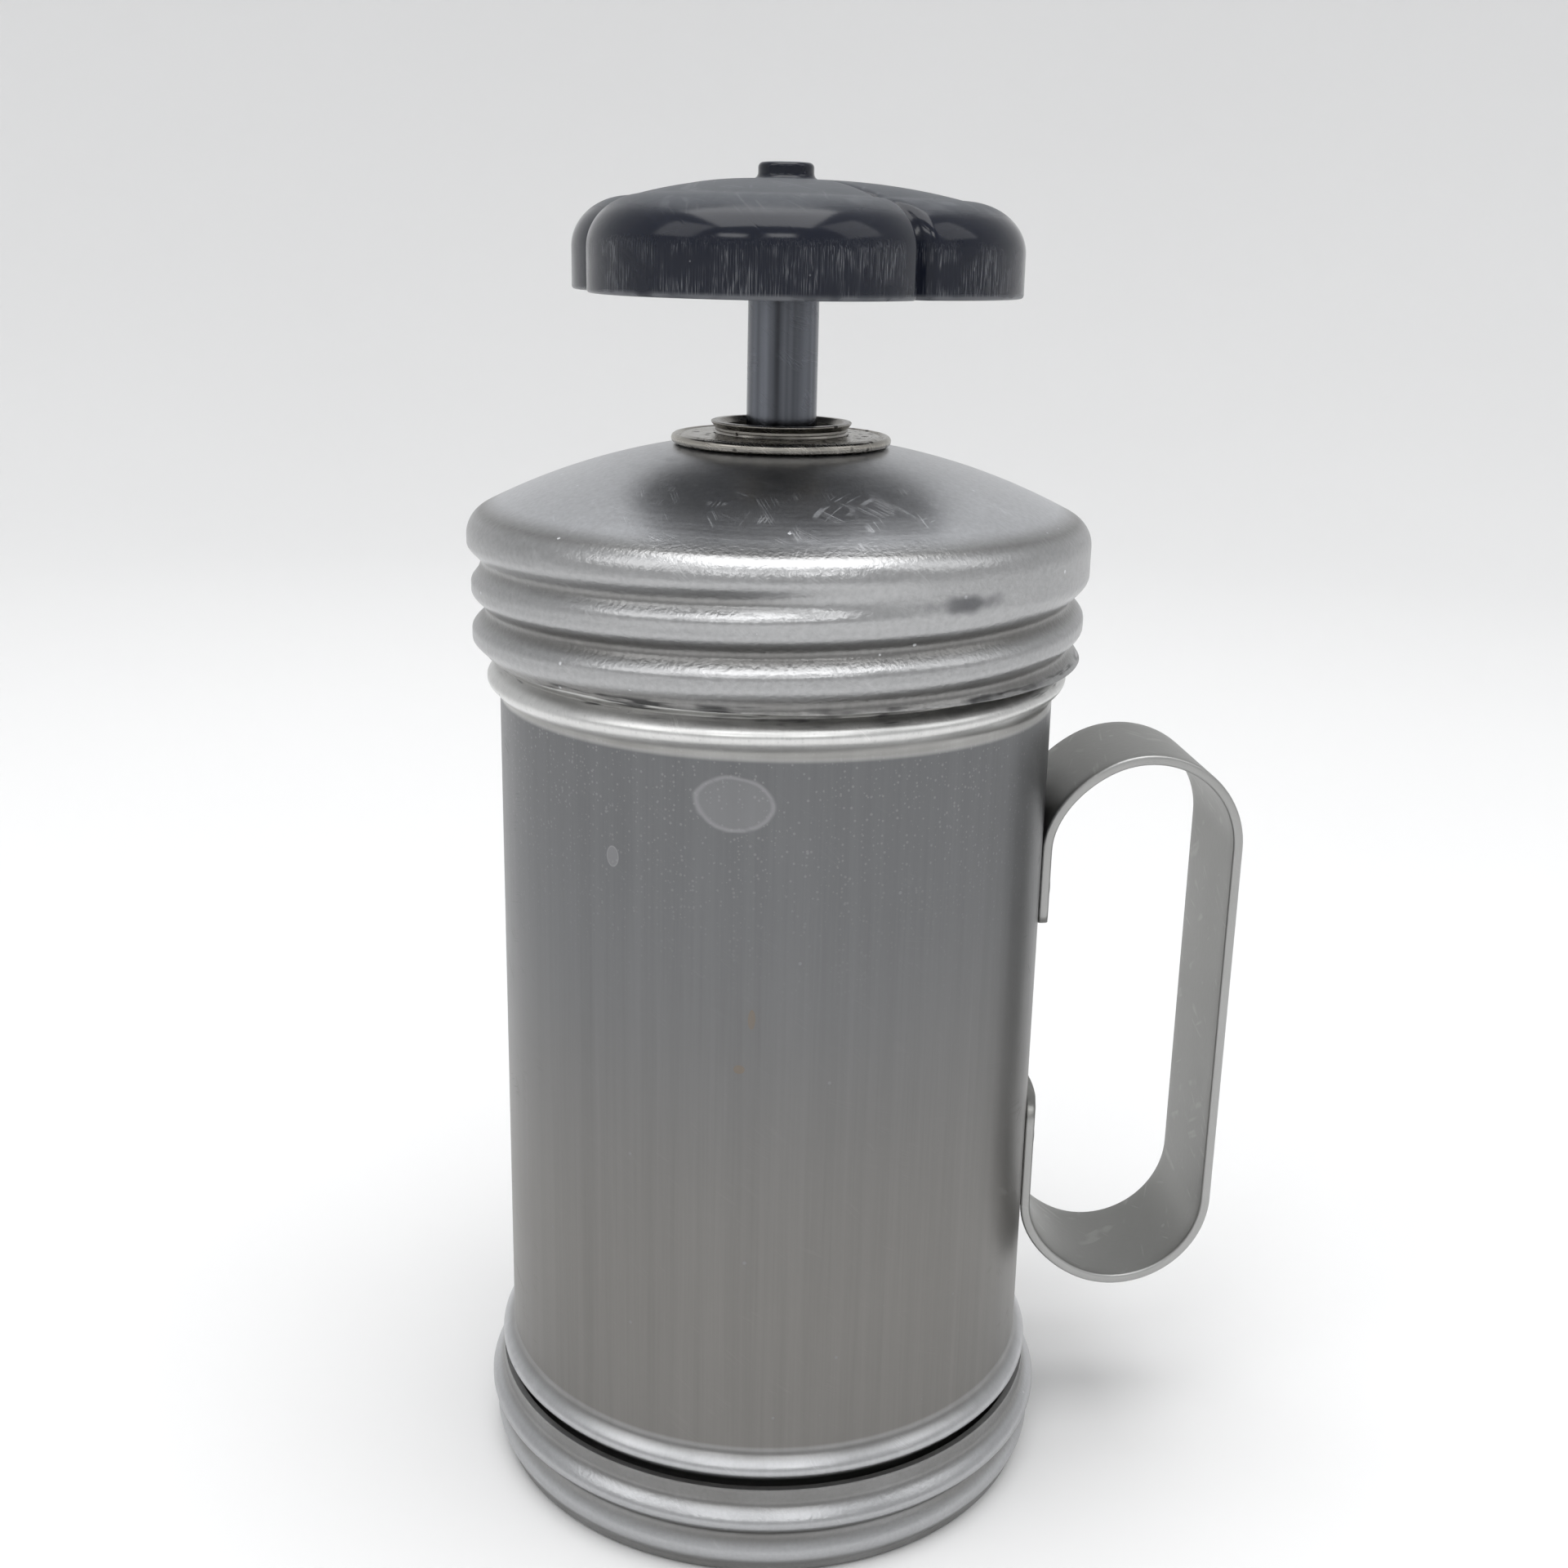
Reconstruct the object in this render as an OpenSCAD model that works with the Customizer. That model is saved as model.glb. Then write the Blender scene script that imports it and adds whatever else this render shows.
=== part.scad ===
// Hand-cranked screw press for soft food: an aluminium barrel with a strap handle, a screw cap
// that carries a threaded spindle and piston, and a screw ring that holds a forming disc.
// The origin is the centre of the ring's underside, +Z is up and the handle points along +X.

/* [Barrel] */
// Outside diameter of the smooth barrel tube
barrel_od = 65; // [55:1:80]
// Sheet thickness of the barrel tube
barrel_wall = 0.9; // [0.6:0.1:1.5]
// Length of the barrel tube, from the forming disc to its top edge
barrel_length = 111; // [90:1:140]
// How far the stiffening beads stand proud of the tube
bead_height = 1.45; // [0.8:0.05:2]
// Height of each stiffening bead
bead_width = 4.4; // [3:0.1:5.5]

/* [Handle] */
// Width of the handle strap
strap_width = 16.5; // [10:0.5:22]
// Thickness of the handle strap
strap_thickness = 1.2; // [0.8:0.1:2]
// Distance from the upper bead's middle down to the top of the handle loop
handle_top_space = 9; // [4:0.5:20]
// Distance from the lower bead's middle up to the bottom of the handle loop
handle_bottom_space = 7.4; // [4:0.2:14]
// Distance from the tube to the handle's outer face
handle_reach = 23.6; // [20:0.2:32]
// Length of the upper tab that lies on the tube
upper_tab_length = 10; // [6:0.5:14]
// Length of the lower tab that lies on the tube
lower_tab_length = 13.5; // [6:0.5:16]

/* [Cap] */
// Gap between the tube and the bottoms of the cap's rolled grooves
cap_gap = 0.6; // [0.4:0.05:1]
// Sheet thickness of the cap
cap_wall = 0.9; // [0.6:0.1:1.2]
// Radius of the sphere that the cap's dome belongs to
dome_radius = 75; // [60:1:120]
// Rounding between the cap's rim and dome
shoulder_radius = 3.2; // [2:0.1:5]
// Height of the skirt, from its cut edge to the start of the rounded shoulder
skirt_height = 13.2; // [12:0.1:16]
// Depth of the grooves rolled into the skirt
skirt_groove = 1.5; // [0.8:0.05:1.6]
// Thread pitch of the cap and of the ring
thread_pitch = 5.4; // [4:0.1:5.6]

/* [Screw and nut] */
// Diameter of the spindle
spindle_od = 8; // [6:0.1:10]
// Pitch of the spindle's thread
spindle_pitch = 4; // [2:0.5:6]
// Outside radius of the nut's neck, which shows above the cap as a collar
neck_radius = 7.6; // [7:0.1:9.2]
// Length of the nut's threaded bore
nut_bore_length = 6; // [4:0.5:8]
// Radial clearance of a turning fit
turn_clearance = 0.05; // [0.02:0.01:0.1]
// Height of the knob's underside above the nut's lip at rest
knob_gap = 14; // [9:0.5:20]

/* [Knob] */
// Distance from the axis to the outermost point of a lobe
knob_reach = 27.2; // [22:0.1:33]
// Radius of one lobe of the knob
lobe_radius = 18.6; // [15:0.1:20]
// Height of the knob's skirt and rounded edge
knob_edge_height = 10.3; // [8:0.1:14]
// Rise of the knob's crown above its rounded edge
crown_rise = 2; // [1:0.1:4]
// Wall thickness of the knob's moulding
knob_wall = 2.2; // [1.6:0.1:3]
// Direction of the first lobe, in degrees from the handle
knob_turn = 7; // [0:1:119]

/* [Piston] */
// Gap between the piston and the barrel's wall
piston_clearance = 0.3; // [0.2:0.05:0.6]
// Thickness of the piston's plate
piston_plate = 1.2; // [0.8:0.1:2]
// Height of the piston's turned-up rim
piston_rim = 7; // [4:0.5:10]
// Travel left below the piston at rest
piston_down = 7; // [2:0.5:8]

/* [Ring and disc] */
// Height of the screw ring
ring_height = 10.4; // [9.5:0.1:11]
// Sheet thickness of the ring
ring_wall = 0.9; // [0.6:0.1:1.2]
// Width of the ring's lip that the disc rests on
lip_width = 4; // [2.5:0.5:7]
// Thickness of the forming disc
disc_thickness = 1.5; // [1:0.1:2]
// Number of pointed openings in the forming disc
opening_count = 8; // [5:1:9]
// Gap between screwed sheets, wide enough for the rolled thread
screw_gap = 0.5; // [0.4:0.05:0.8]

/* [Hidden] */
$fn = 96;

// Smallest air gap between pieces that only rest near each other
rest_gap = 0.15;
// Tiny overlap that makes a cut go clean through a face
cut = 0.5;

// Heights, from the table up
disc_z = ring_wall;
barrel_z = disc_z + disc_thickness;
barrel_top = barrel_z + barrel_length;
bead_half = bead_width / 2;
ring_seam = 0.9;
low_bead_z = ring_height + ring_seam + bead_half;
skirt_cover = 10.3;
skirt_z = barrel_top - skirt_cover;
top_bead_z = skirt_z - 0.5 - bead_half;
shoulder_z = skirt_z + skirt_height;
barrel_r = barrel_od / 2;
handle_bottom = low_bead_z + handle_bottom_space;
handle_height = top_bead_z - handle_top_space - handle_bottom;

// The cap's rim stands one step outside its skirt, and the grooves reach down almost to the tube
rim_step = 0.4;
skirt_r = barrel_r + cap_gap + cap_wall + skirt_groove;
cap_radius = skirt_r + rim_step;

// The dome's sphere touches the shoulder's rounding from inside
shoulder_r = cap_radius - shoulder_radius;
dome_z = shoulder_z - sqrt(pow(dome_radius - shoulder_radius, 2) - pow(shoulder_r, 2));
dome_angle = asin(shoulder_r / (dome_radius - shoulder_radius));
dome_inside = dome_radius - cap_wall;
function dome_top(r) = dome_z + sqrt(dome_radius * dome_radius - r * r);
function dome_under(r) = dome_z + sqrt(dome_inside * dome_inside - r * r);

// Nut, flange and washer at the cap's centre
hole_radius = neck_radius + 0.1;
flange_radius = neck_radius + 5;
flange_rim = 0.55;
flange_rim_r = flange_radius - flange_rim;
flange_rim_z = dome_top(flange_rim_r) + flange_rim + rest_gap;
flange_web = 0.6;
flange_web_z = dome_top(hole_radius) + rest_gap;
hex_radius = neck_radius + 2.4;
washer_radius = hex_radius + 2;
washer_thickness = 1.2;
washer_z = dome_under(washer_radius) - washer_thickness;
hex_height = 3;
hex_z = washer_z - hex_height;
nut_length = 14.5;
lip_z = flange_web_z + flange_web + 1.4;
lip_flare = 0.45;
lip_height = 0.7;
nut_z = lip_z - nut_length;
nut_seat_z = nut_z + nut_bore_length;
collar_wall = 1;

// Spindle, knob and piston at rest
spindle_r = spindle_od / 2;
knob_z = lip_z + knob_gap;
end_gap = 1;
journal_r = spindle_r - 1.2;
clip_thickness = 0.8;
clip_groove = 0.5;
journal_tip = 0.7;
spindle_z = barrel_z + end_gap + piston_down;
clip_z = spindle_z + journal_tip;
axial_gap = 0.1;
plate_z = clip_z + clip_thickness + axial_gap;
thrust_thickness = 1;
thrust_z = plate_z + piston_plate;
spindle_shoulder_z = thrust_z + thrust_thickness + axial_gap;
bush_radius = spindle_r + 2.5;
bush_height = 7;
bush_z = knob_z + 0.6;
spindle_top = bush_z + bush_height;
piston_r = barrel_r - barrel_wall - piston_clearance;
mouth_radius = barrel_r - lip_width;
crown_z = knob_z + knob_edge_height + crown_rise;

// A smooth rolled swelling of the given height, centred at z = c and reaching half to each side
function swell(z, c, half, height) =
    abs(z - c) >= half ? 0 : height * (1 + cos(180 * (z - c) / half)) / 2;

// Even steps from a to b, ends included
function steps(a, b, n) = [for (i = [0:n]) a + (b - a) * i / n];

// A sheet of constant thickness: the outer outline up, then the same outline set inwards
function sheet(outer, wall) = concat(outer,
    [for (i = [len(outer) - 1:-1:0]) [outer[i][0] - wall, outer[i][1]]]);

module barrel() {
    bead_zs = [low_bead_z, top_bead_z];
    zs = concat([barrel_z], steps(low_bead_z - bead_half, low_bead_z + bead_half, 12),
        steps(top_bead_z - bead_half, top_bead_z + bead_half, 12), [barrel_top]);
    outer = [for (z = zs) [barrel_r + swell(z, bead_zs[0], bead_half, bead_height)
        + swell(z, bead_zs[1], bead_half, bead_height), z]];
    color("silver") rotate_extrude() polygon(sheet(outer, barrel_wall));
}

// Outline of the handle's loop, drawn as height over distance, filled out to its outer face
module loop_outline(inset) {
    r = handle_reach / 2 - inset;
    middle = barrel_r + handle_reach / 2;
    low = handle_bottom + handle_reach / 2;
    high = handle_bottom + handle_height - handle_reach / 2;
    translate([middle, low]) circle(r);
    translate([middle, high]) circle(r);
    translate([middle - r, low]) square([2 * r, high - low]);
}

// A piece of the strap's tab, curved to the tube, from z1 to z2
module tab(z1, z2) {
    intersection() {
        translate([0, 0, z1]) difference() {
            cylinder(r = barrel_r + strap_thickness, h = z2 - z1);
            translate([0, 0, -cut]) cylinder(r = barrel_r, h = z2 - z1 + 2 * cut);
        }
        translate([0, -strap_width / 2, z1 - cut])
            cube([barrel_r + 2 * strap_thickness, strap_width, z2 - z1 + 2 * cut]);
    }
}

module handle_strap() {
    low = handle_bottom + handle_reach / 2;
    high = handle_bottom + handle_height - handle_reach / 2;
    lap = 2.5;
    color("gray") union() {
        difference() {
            rotate([90, 0, 0]) linear_extrude(strap_width, center = true) difference() {
                loop_outline(0);
                loop_outline(strap_thickness);
                translate([barrel_r - cut, low + lap / 2])
                    square([handle_reach / 2, high - low - lap]);
            }
            cylinder(r = barrel_r, h = high + handle_reach);
        }
        tab(high - upper_tab_length, high + lap);
        tab(low - lap, low + lower_tab_length);
    }
}

module cap_shell() {
    groove_half = thread_pitch / 2.4;
    grooves = [skirt_z + 4.4, skirt_z + 4.4 + thread_pitch * 0.9];
    zs = concat([skirt_z], steps(grooves[0] - groove_half, grooves[0] + groove_half, 10),
        steps(grooves[1] - groove_half, grooves[1] + groove_half, 10), [shoulder_z]);
    skirt = [for (z = zs) [(z > grooves[1] ? cap_radius : skirt_r)
        - swell(z, grooves[0], groove_half, skirt_groove)
        - swell(z, grooves[1], groove_half, skirt_groove), z]];
    shoulder = [for (a = steps(0, 90 - dome_angle, 8))
        [shoulder_r + shoulder_radius * cos(a), shoulder_z + shoulder_radius * sin(a)]];
    shoulder_in = [for (a = steps(0, 90 - dome_angle, 8))
        [shoulder_r + (shoulder_radius - cap_wall) * cos(a),
        shoulder_z + (shoulder_radius - cap_wall) * sin(a)]];
    dome_rs = steps(dome_radius * sin(dome_angle), hole_radius, 10);
    dome = [for (r = dome_rs) [r, dome_top(r)]];
    dome_in_rs = steps(hole_radius, dome_inside * sin(dome_angle), 10);
    dome_in = [for (r = dome_in_rs) [r, dome_under(r)]];
    skirt_in = [for (i = [len(skirt) - 1:-1:0]) [skirt[i][0] - cap_wall, skirt[i][1]]];
    outline = concat(skirt, [for (i = [1:8]) shoulder[i]], [for (i = [1:10]) dome[i]],
        dome_in, [for (i = [7:-1:1]) shoulder_in[i]], skirt_in);
    color("silver") rotate_extrude() polygon(outline);
}

module cap_flange() {
    color("darkkhaki") rotate_extrude() union() {
        translate([hole_radius, flange_web_z]) square([flange_rim_r - hole_radius, flange_web]);
        translate([flange_rim_r, flange_rim_z]) circle(flange_rim, $fn = 32);
        translate([flange_rim_r - flange_rim, flange_rim_z])
            square([flange_rim, flange_web_z + flange_web - flange_rim_z]);
    }
}

module spindle_nut() {
    lip_base = lip_z - lip_height;
    color("dimgray") difference() {
        union() {
            translate([0, 0, nut_z]) cylinder(r = neck_radius, h = lip_base - nut_z);
            translate([0, 0, hex_z]) cylinder(r = hex_radius, h = hex_height, $fn = 6);
            translate([0, 0, lip_base])
                cylinder(r1 = neck_radius, r2 = neck_radius + lip_flare, h = lip_height);
        }
        translate([0, 0, nut_z - cut])
            cylinder(r = spindle_r + turn_clearance, h = nut_bore_length + 2 * cut);
        translate([0, 0, nut_seat_z])
            cylinder(r = neck_radius - collar_wall, h = lip_z - nut_seat_z + cut);
    }
}

module backing_washer() {
    color("silver") translate([0, 0, washer_z]) difference() {
        cylinder(r = washer_radius, h = washer_thickness);
        translate([0, 0, -cut]) cylinder(r = hole_radius, h = washer_thickness + 2 * cut);
    }
}

module spindle() {
    groove_z = clip_z - axial_gap / 2;
    groove_h = clip_thickness + axial_gap;
    color("lightslategray") union() {
        translate([0, 0, spindle_z]) cylinder(r = journal_r, h = groove_z - spindle_z);
        translate([0, 0, groove_z]) cylinder(r = journal_r - clip_groove, h = groove_h);
        translate([0, 0, groove_z + groove_h])
            cylinder(r = journal_r, h = spindle_shoulder_z - groove_z - groove_h);
        translate([0, 0, spindle_shoulder_z])
            cylinder(r = spindle_r, h = spindle_top - spindle_shoulder_z);
    }
}

// Plan of the knob: three overlapping round lobes, drawn inset by the given distance
module lobe_plan(inset) {
    for (i = [0:2]) rotate(knob_turn + 120 * i)
        translate([knob_reach - lobe_radius, 0]) circle(lobe_radius - inset);
}

// The knob's turned form: a skirt a little wider than the lobes, an elliptical edge and a crown
module knob_form() {
    skirt_margin = 0.3;
    round_w = 7;
    round_h = 5.6;
    r = knob_reach + skirt_margin;
    top = knob_z + knob_edge_height;
    rotate_extrude() polygon(concat([[0, knob_z], [r, knob_z]],
        [for (a = steps(0, 84, 7))
            [r - round_w + round_w * cos(a), top - round_h + round_h * sin(a)]],
        [for (t = steps(0.75, 0, 4)) [(r - round_w) * t, crown_z - crown_rise * t * t]]));
}

module knob() {
    boss_r = 3.2;
    boss_h = 1.7;
    hub_r = bush_radius + 2;
    pocket_h = 5.5;
    color([0.13, 0.14, 0.17]) difference() {
        union() {
            intersection() {
                translate([0, 0, knob_z - cut])
                    linear_extrude(knob_edge_height + crown_rise + 2 * cut) lobe_plan(0);
                knob_form();
            }
            translate([0, 0, crown_z - crown_rise]) cylinder(r1 = boss_r + 0.6,
                r2 = boss_r - 0.3, h = crown_rise + boss_h);
        }
        translate([0, 0, knob_z - cut]) linear_extrude(pocket_h + cut) difference() {
            lobe_plan(knob_wall);
            circle(hub_r);
        }
        translate([0, 0, knob_z - cut]) cylinder(r = bush_radius, h = spindle_top - knob_z + cut);
    }
}

module knob_bush() {
    color("goldenrod") translate([0, 0, bush_z]) difference() {
        cylinder(r = bush_radius, h = bush_height);
        translate([0, 0, -cut]) cylinder(r = spindle_r, h = bush_height + 2 * cut);
    }
}

module piston() {
    corner = 1.6;
    rim_wall = 1;
    color("silver") difference() {
        rotate_extrude() polygon(concat([[0, plate_z], [piston_r - corner, plate_z]],
            [for (a = steps(-90, 0, 6))
                [piston_r - corner + corner * cos(a), plate_z + corner + corner * sin(a)]],
            [[piston_r, plate_z + piston_rim], [piston_r - rim_wall, plate_z + piston_rim],
            [piston_r - rim_wall, thrust_z + 0.6], [piston_r - rim_wall - 0.6, thrust_z],
            [0, thrust_z]]));
        translate([0, 0, plate_z - cut])
            cylinder(r = journal_r + turn_clearance, h = piston_plate + 2 * cut);
    }
}

module piston_washer() {
    thrust_r = spindle_r + 3;
    color("lightgray") translate([0, 0, thrust_z]) difference() {
        cylinder(r = thrust_r, h = thrust_thickness);
        translate([0, 0, -cut])
            cylinder(r = journal_r + turn_clearance, h = thrust_thickness + 2 * cut);
    }
}

module piston_clip() {
    clip_r = journal_r + 2;
    seat_r = journal_r - clip_groove;
    color("dimgray") translate([0, 0, clip_z]) difference() {
        cylinder(r = clip_r, h = clip_thickness);
        translate([0, 0, -cut]) cylinder(r = seat_r, h = clip_thickness + 2 * cut);
        translate([0, -seat_r, -cut]) cube([clip_r + cut, 2 * seat_r, clip_thickness + 2 * cut]);
    }
}

module base_ring() {
    inner_r = barrel_r + screw_gap;
    bead_half_h = 2.3;
    crests = [3.1, 7.5];
    zs = concat(steps(disc_z, crests[0] + bead_half_h, 10),
        steps(crests[1] - bead_half_h + 0.3, crests[1] + bead_half_h, 10), [ring_height]);
    wall = [for (z = zs) [inner_r + ring_wall + swell(z, crests[0], bead_half_h, 0.9)
        + swell(z, crests[1], bead_half_h, 1.5), z]];
    wall_in = [for (i = [len(wall) - 1:-1:1]) [wall[i][0] - ring_wall, wall[i][1]]];
    color("silver") rotate_extrude()
        polygon(concat([[mouth_radius, 0], [inner_r, 0]], wall, wall_in,
            [[inner_r, disc_z], [mouth_radius, disc_z]]));
}

// One pointed opening: a kite whose long point faces outwards
module disc_opening() {
    inner = 8.5;
    broad = 14;
    outer = mouth_radius - 5;
    half_width = 3.4;
    polygon([[inner, 0], [broad, -half_width], [outer, 0], [broad, half_width]]);
}

module forming_disc() {
    disc_r = barrel_r;
    color("silver") translate([0, 0, disc_z]) linear_extrude(disc_thickness) difference() {
        circle(disc_r);
        for (i = [0:opening_count - 1]) rotate(i * 360 / opening_count) disc_opening();
    }
}

barrel();
handle_strap();
cap_shell();
cap_flange();
spindle_nut();
backing_washer();
spindle();
knob();
knob_bush();
piston();
piston_washer();
piston_clip();
base_ring();
forming_disc();
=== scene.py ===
"""Looks of a hand-cranked screw press for soft food, with the small studio that it stands in.

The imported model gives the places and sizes. Lengths are metres, +Z is up, the handle points
along +X and the front of the press faces -Y.
"""
from __future__ import annotations

import logging
import math
from dataclasses import dataclass, field
from enum import Enum
from typing import Callable

import bmesh
import bpy
from mathutils import Matrix, Vector


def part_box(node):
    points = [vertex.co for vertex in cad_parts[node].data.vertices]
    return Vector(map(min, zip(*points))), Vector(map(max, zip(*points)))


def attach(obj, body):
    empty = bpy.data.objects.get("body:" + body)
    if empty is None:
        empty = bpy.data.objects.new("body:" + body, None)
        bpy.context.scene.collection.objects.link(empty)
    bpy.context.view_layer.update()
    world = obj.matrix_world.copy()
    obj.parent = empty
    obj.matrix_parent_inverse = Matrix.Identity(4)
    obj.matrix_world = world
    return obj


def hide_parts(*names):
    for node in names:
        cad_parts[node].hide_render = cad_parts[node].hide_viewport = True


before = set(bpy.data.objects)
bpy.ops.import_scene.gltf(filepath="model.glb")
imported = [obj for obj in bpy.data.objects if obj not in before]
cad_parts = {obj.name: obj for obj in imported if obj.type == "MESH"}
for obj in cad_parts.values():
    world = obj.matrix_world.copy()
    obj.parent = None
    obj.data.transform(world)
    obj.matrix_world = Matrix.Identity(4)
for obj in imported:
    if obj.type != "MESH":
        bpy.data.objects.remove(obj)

log = logging.getLogger("screw_press")

MM = 0.001
SHARP_ANGLE = math.radians(38)
MERGE_DISTANCE = 0.5e-6
FULL_TURN = 2 * math.pi

Point2 = tuple[float, float]
Colour = tuple[float, float, float]


# ---------------------------------------------------------------- node arithmetic


class Field:
    """A number that flows through a node tree and is written with ordinary arithmetic."""

    def __init__(self, tree: bpy.types.NodeTree, socket: bpy.types.NodeSocket) -> None:
        """Wraps one output socket of the tree."""
        self.tree = tree
        self.socket = socket

    def calc(self, operation: str, *others: "Field | float", clamp: bool = False) -> "Field":
        """Adds one Math node.

        Args:
            operation: The Math node's operation.
            others: Its second and third inputs, as far as it has them.
            clamp: Whether the result is kept between 0 and 1.

        Returns:
            The node's result.
        """
        node = self.tree.nodes.new("ShaderNodeMath")
        node.operation = operation
        node.use_clamp = clamp
        for socket, value in zip(node.inputs, (self, *others)):
            plug(self.tree, socket, value)
        return Field(self.tree, node.outputs[0])

    def __add__(self, other: "Field | float") -> "Field":
        """self + other."""
        return self.calc("ADD", other)

    def __sub__(self, other: "Field | float") -> "Field":
        """self - other."""
        return self.calc("SUBTRACT", other)

    def __mul__(self, other: "Field | float") -> "Field":
        """self * other."""
        return self.calc("MULTIPLY", other)

    def __truediv__(self, other: "Field | float") -> "Field":
        """self / other."""
        return self.calc("DIVIDE", other)

    def flipped(self) -> "Field":
        """1 - self."""
        return (self * -1.0) + 1.0

    def cos(self) -> "Field":
        """Cosine of self in radians."""
        return self.calc("COSINE")

    def sin(self) -> "Field":
        """Sine of self in radians."""
        return self.calc("SINE")

    def abs(self) -> "Field":
        """Size of self without its sign."""
        return self.calc("ABSOLUTE")

    def clamped(self) -> "Field":
        """self kept between 0 and 1."""
        return self.calc("ADD", 0.0, clamp=True)

    def rise(self, low: "Field | float", high: "Field | float") -> "Field":
        """Smooth step.

        Args:
            low: Where the step leaves 0.
            high: Where it reaches 1. A value below low gives a falling step.

        Returns:
            A field between 0 and 1.
        """
        node = self.tree.nodes.new("ShaderNodeMapRange")
        node.interpolation_type = "SMOOTHSTEP"
        for name, value in (("Value", self), ("From Min", low), ("From Max", high)):
            plug(self.tree, node.inputs[name], value)
        return Field(self.tree, node.outputs["Result"])

    def hump(self, middle: "Field | float", half: "Field | float") -> "Field":
        """A cosine hump that is 1 at the middle and 0 from one half width away."""
        share = ((self - middle).abs() / half).clamped()
        return ((share * math.pi).cos() + 1.0) * 0.5


def plug(tree: bpy.types.NodeTree, socket: bpy.types.NodeSocket, value: object) -> None:
    """Links a field or an output socket to an input socket, or sets the input's own value."""
    if isinstance(value, Field):
        tree.links.new(value.socket, socket)
    elif isinstance(value, bpy.types.NodeSocket):
        tree.links.new(value, socket)
    else:
        socket.default_value = value


def add_node(tree: bpy.types.NodeTree, kind: str, **inputs: object) -> bpy.types.Node:
    """Adds a node to a tree and plugs its inputs, whose names have _ for a space."""
    node = tree.nodes.new(kind)
    for label, value in inputs.items():
        plug(tree, node.inputs[label.replace("_", " ")], value)
    return node


def new_tree(kind: str, name: str, takes: dict[str, tuple[str, object]],
             gives: dict[str, str]) -> bpy.types.NodeTree:
    """Makes an empty node group with named sockets.

    Args:
        kind: GeometryNodeTree or ShaderNodeTree.
        name: The group's name.
        takes: Input names, each with its socket type and default value.
        gives: Output names with their socket types.

    Returns:
        The group, holding only its input and output nodes.
    """
    tree = bpy.data.node_groups.new(name, kind)
    for label, (socket_type, default) in takes.items():
        item = tree.interface.new_socket(label, in_out="INPUT", socket_type=socket_type)
        if default is not None:
            item.default_value = default
    for label, socket_type in gives.items():
        tree.interface.new_socket(label, in_out="OUTPUT", socket_type=socket_type)
    tree.nodes.new("NodeGroupInput")
    tree.nodes.new("NodeGroupOutput")
    return tree


def ends(tree: bpy.types.NodeTree) -> tuple[Callable[[str], Field], bpy.types.Node]:
    """Gives a function that reads a group's inputs by name, and its output node."""
    source = next(n for n in tree.nodes if n.bl_idname == "NodeGroupInput")
    sink = next(n for n in tree.nodes if n.bl_idname == "NodeGroupOutput")
    return (lambda label: Field(tree, source.outputs[label])), sink


FLOAT = "NodeSocketFloat"
VECTOR = "NodeSocketVector"


# ---------------------------------------------------------------- mesh helpers


def shaded(mesh: bpy.types.Mesh) -> bpy.types.Mesh:
    """Turns a closed mesh's faces outwards and shades it smooth between its sharp edges."""
    work = bmesh.new()
    work.from_mesh(mesh)
    bmesh.ops.remove_doubles(work, verts=work.verts, dist=MERGE_DISTANCE)
    bmesh.ops.recalc_face_normals(work, faces=work.faces)
    if work.calc_volume(signed=True) < 0:
        bmesh.ops.reverse_faces(work, faces=work.faces)
    work.to_mesh(mesh)
    work.free()
    mesh.shade_smooth()
    mesh.set_sharp_from_angle(angle=SHARP_ANGLE)
    return mesh


def add_object(name: str, mesh: bpy.types.Mesh) -> bpy.types.Object:
    """Puts a mesh into the scene as an object at the origin."""
    made = bpy.data.objects.new(name, mesh)
    bpy.context.scene.collection.objects.link(made)
    return made


def stacked(name: str, rings: list[list[Vector]], looped: bool = False) -> bpy.types.Mesh:
    """Joins rings of points into a closed skin.

    Args:
        name: The mesh's name.
        rings: Rings with the same number of points each, in order.
        looped: Whether the last ring joins the first. If not, both ends are closed by fans.

    Returns:
        The shaded mesh.
    """
    count = len(rings[0])
    points = [point for ring in rings for point in ring]
    faces = []
    for low in range(len(rings) if looped else len(rings) - 1):
        high = (low + 1) % len(rings)
        for i in range(count):
            j = (i + 1) % count
            faces.append((low * count + i, low * count + j, high * count + j, high * count + i))
    if not looped:
        for ring in (0, len(rings) - 1):
            centre = len(points)
            points.append(sum(rings[ring], Vector()) / count)
            faces += [(ring * count + i, ring * count + (i + 1) % count, centre)
                      for i in range(count)]
    mesh = bpy.data.meshes.new(name)
    mesh.from_pydata(points, [], faces)
    return shaded(mesh)


def evaluated(made: bpy.types.Object) -> bpy.types.Object:
    """Replaces an object's mesh by the result of its modifiers, and removes them."""
    plain = bpy.data.meshes.new_from_object(
        made.evaluated_get(bpy.context.evaluated_depsgraph_get()))
    made.modifiers.clear()
    made.data = plain
    return made


def run_tree(made: bpy.types.Object, tree: bpy.types.NodeTree,
             values: dict[str, object]) -> bpy.types.Object:
    """Runs a Geometry Nodes tree on an object and keeps the plain mesh.

    Args:
        made: The object that holds the tree's input geometry.
        tree: The tree.
        values: The tree's inputs by name.

    Returns:
        The object, with a plain mesh and no modifier.
    """
    modifier = made.modifiers.new(tree.name, "NODES")
    modifier.node_group = tree
    for item in tree.interface.items_tree:
        if item.in_out == "INPUT" and item.name in values:
            modifier[item.identifier] = values[item.name]
    evaluated(made)
    shaded(made.data)
    return made


def steps(start: float, end: float, count: int) -> list[float]:
    """Evenly spaced values from start to end, both included."""
    return [start + (end - start) * i / count for i in range(count + 1)]


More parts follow.
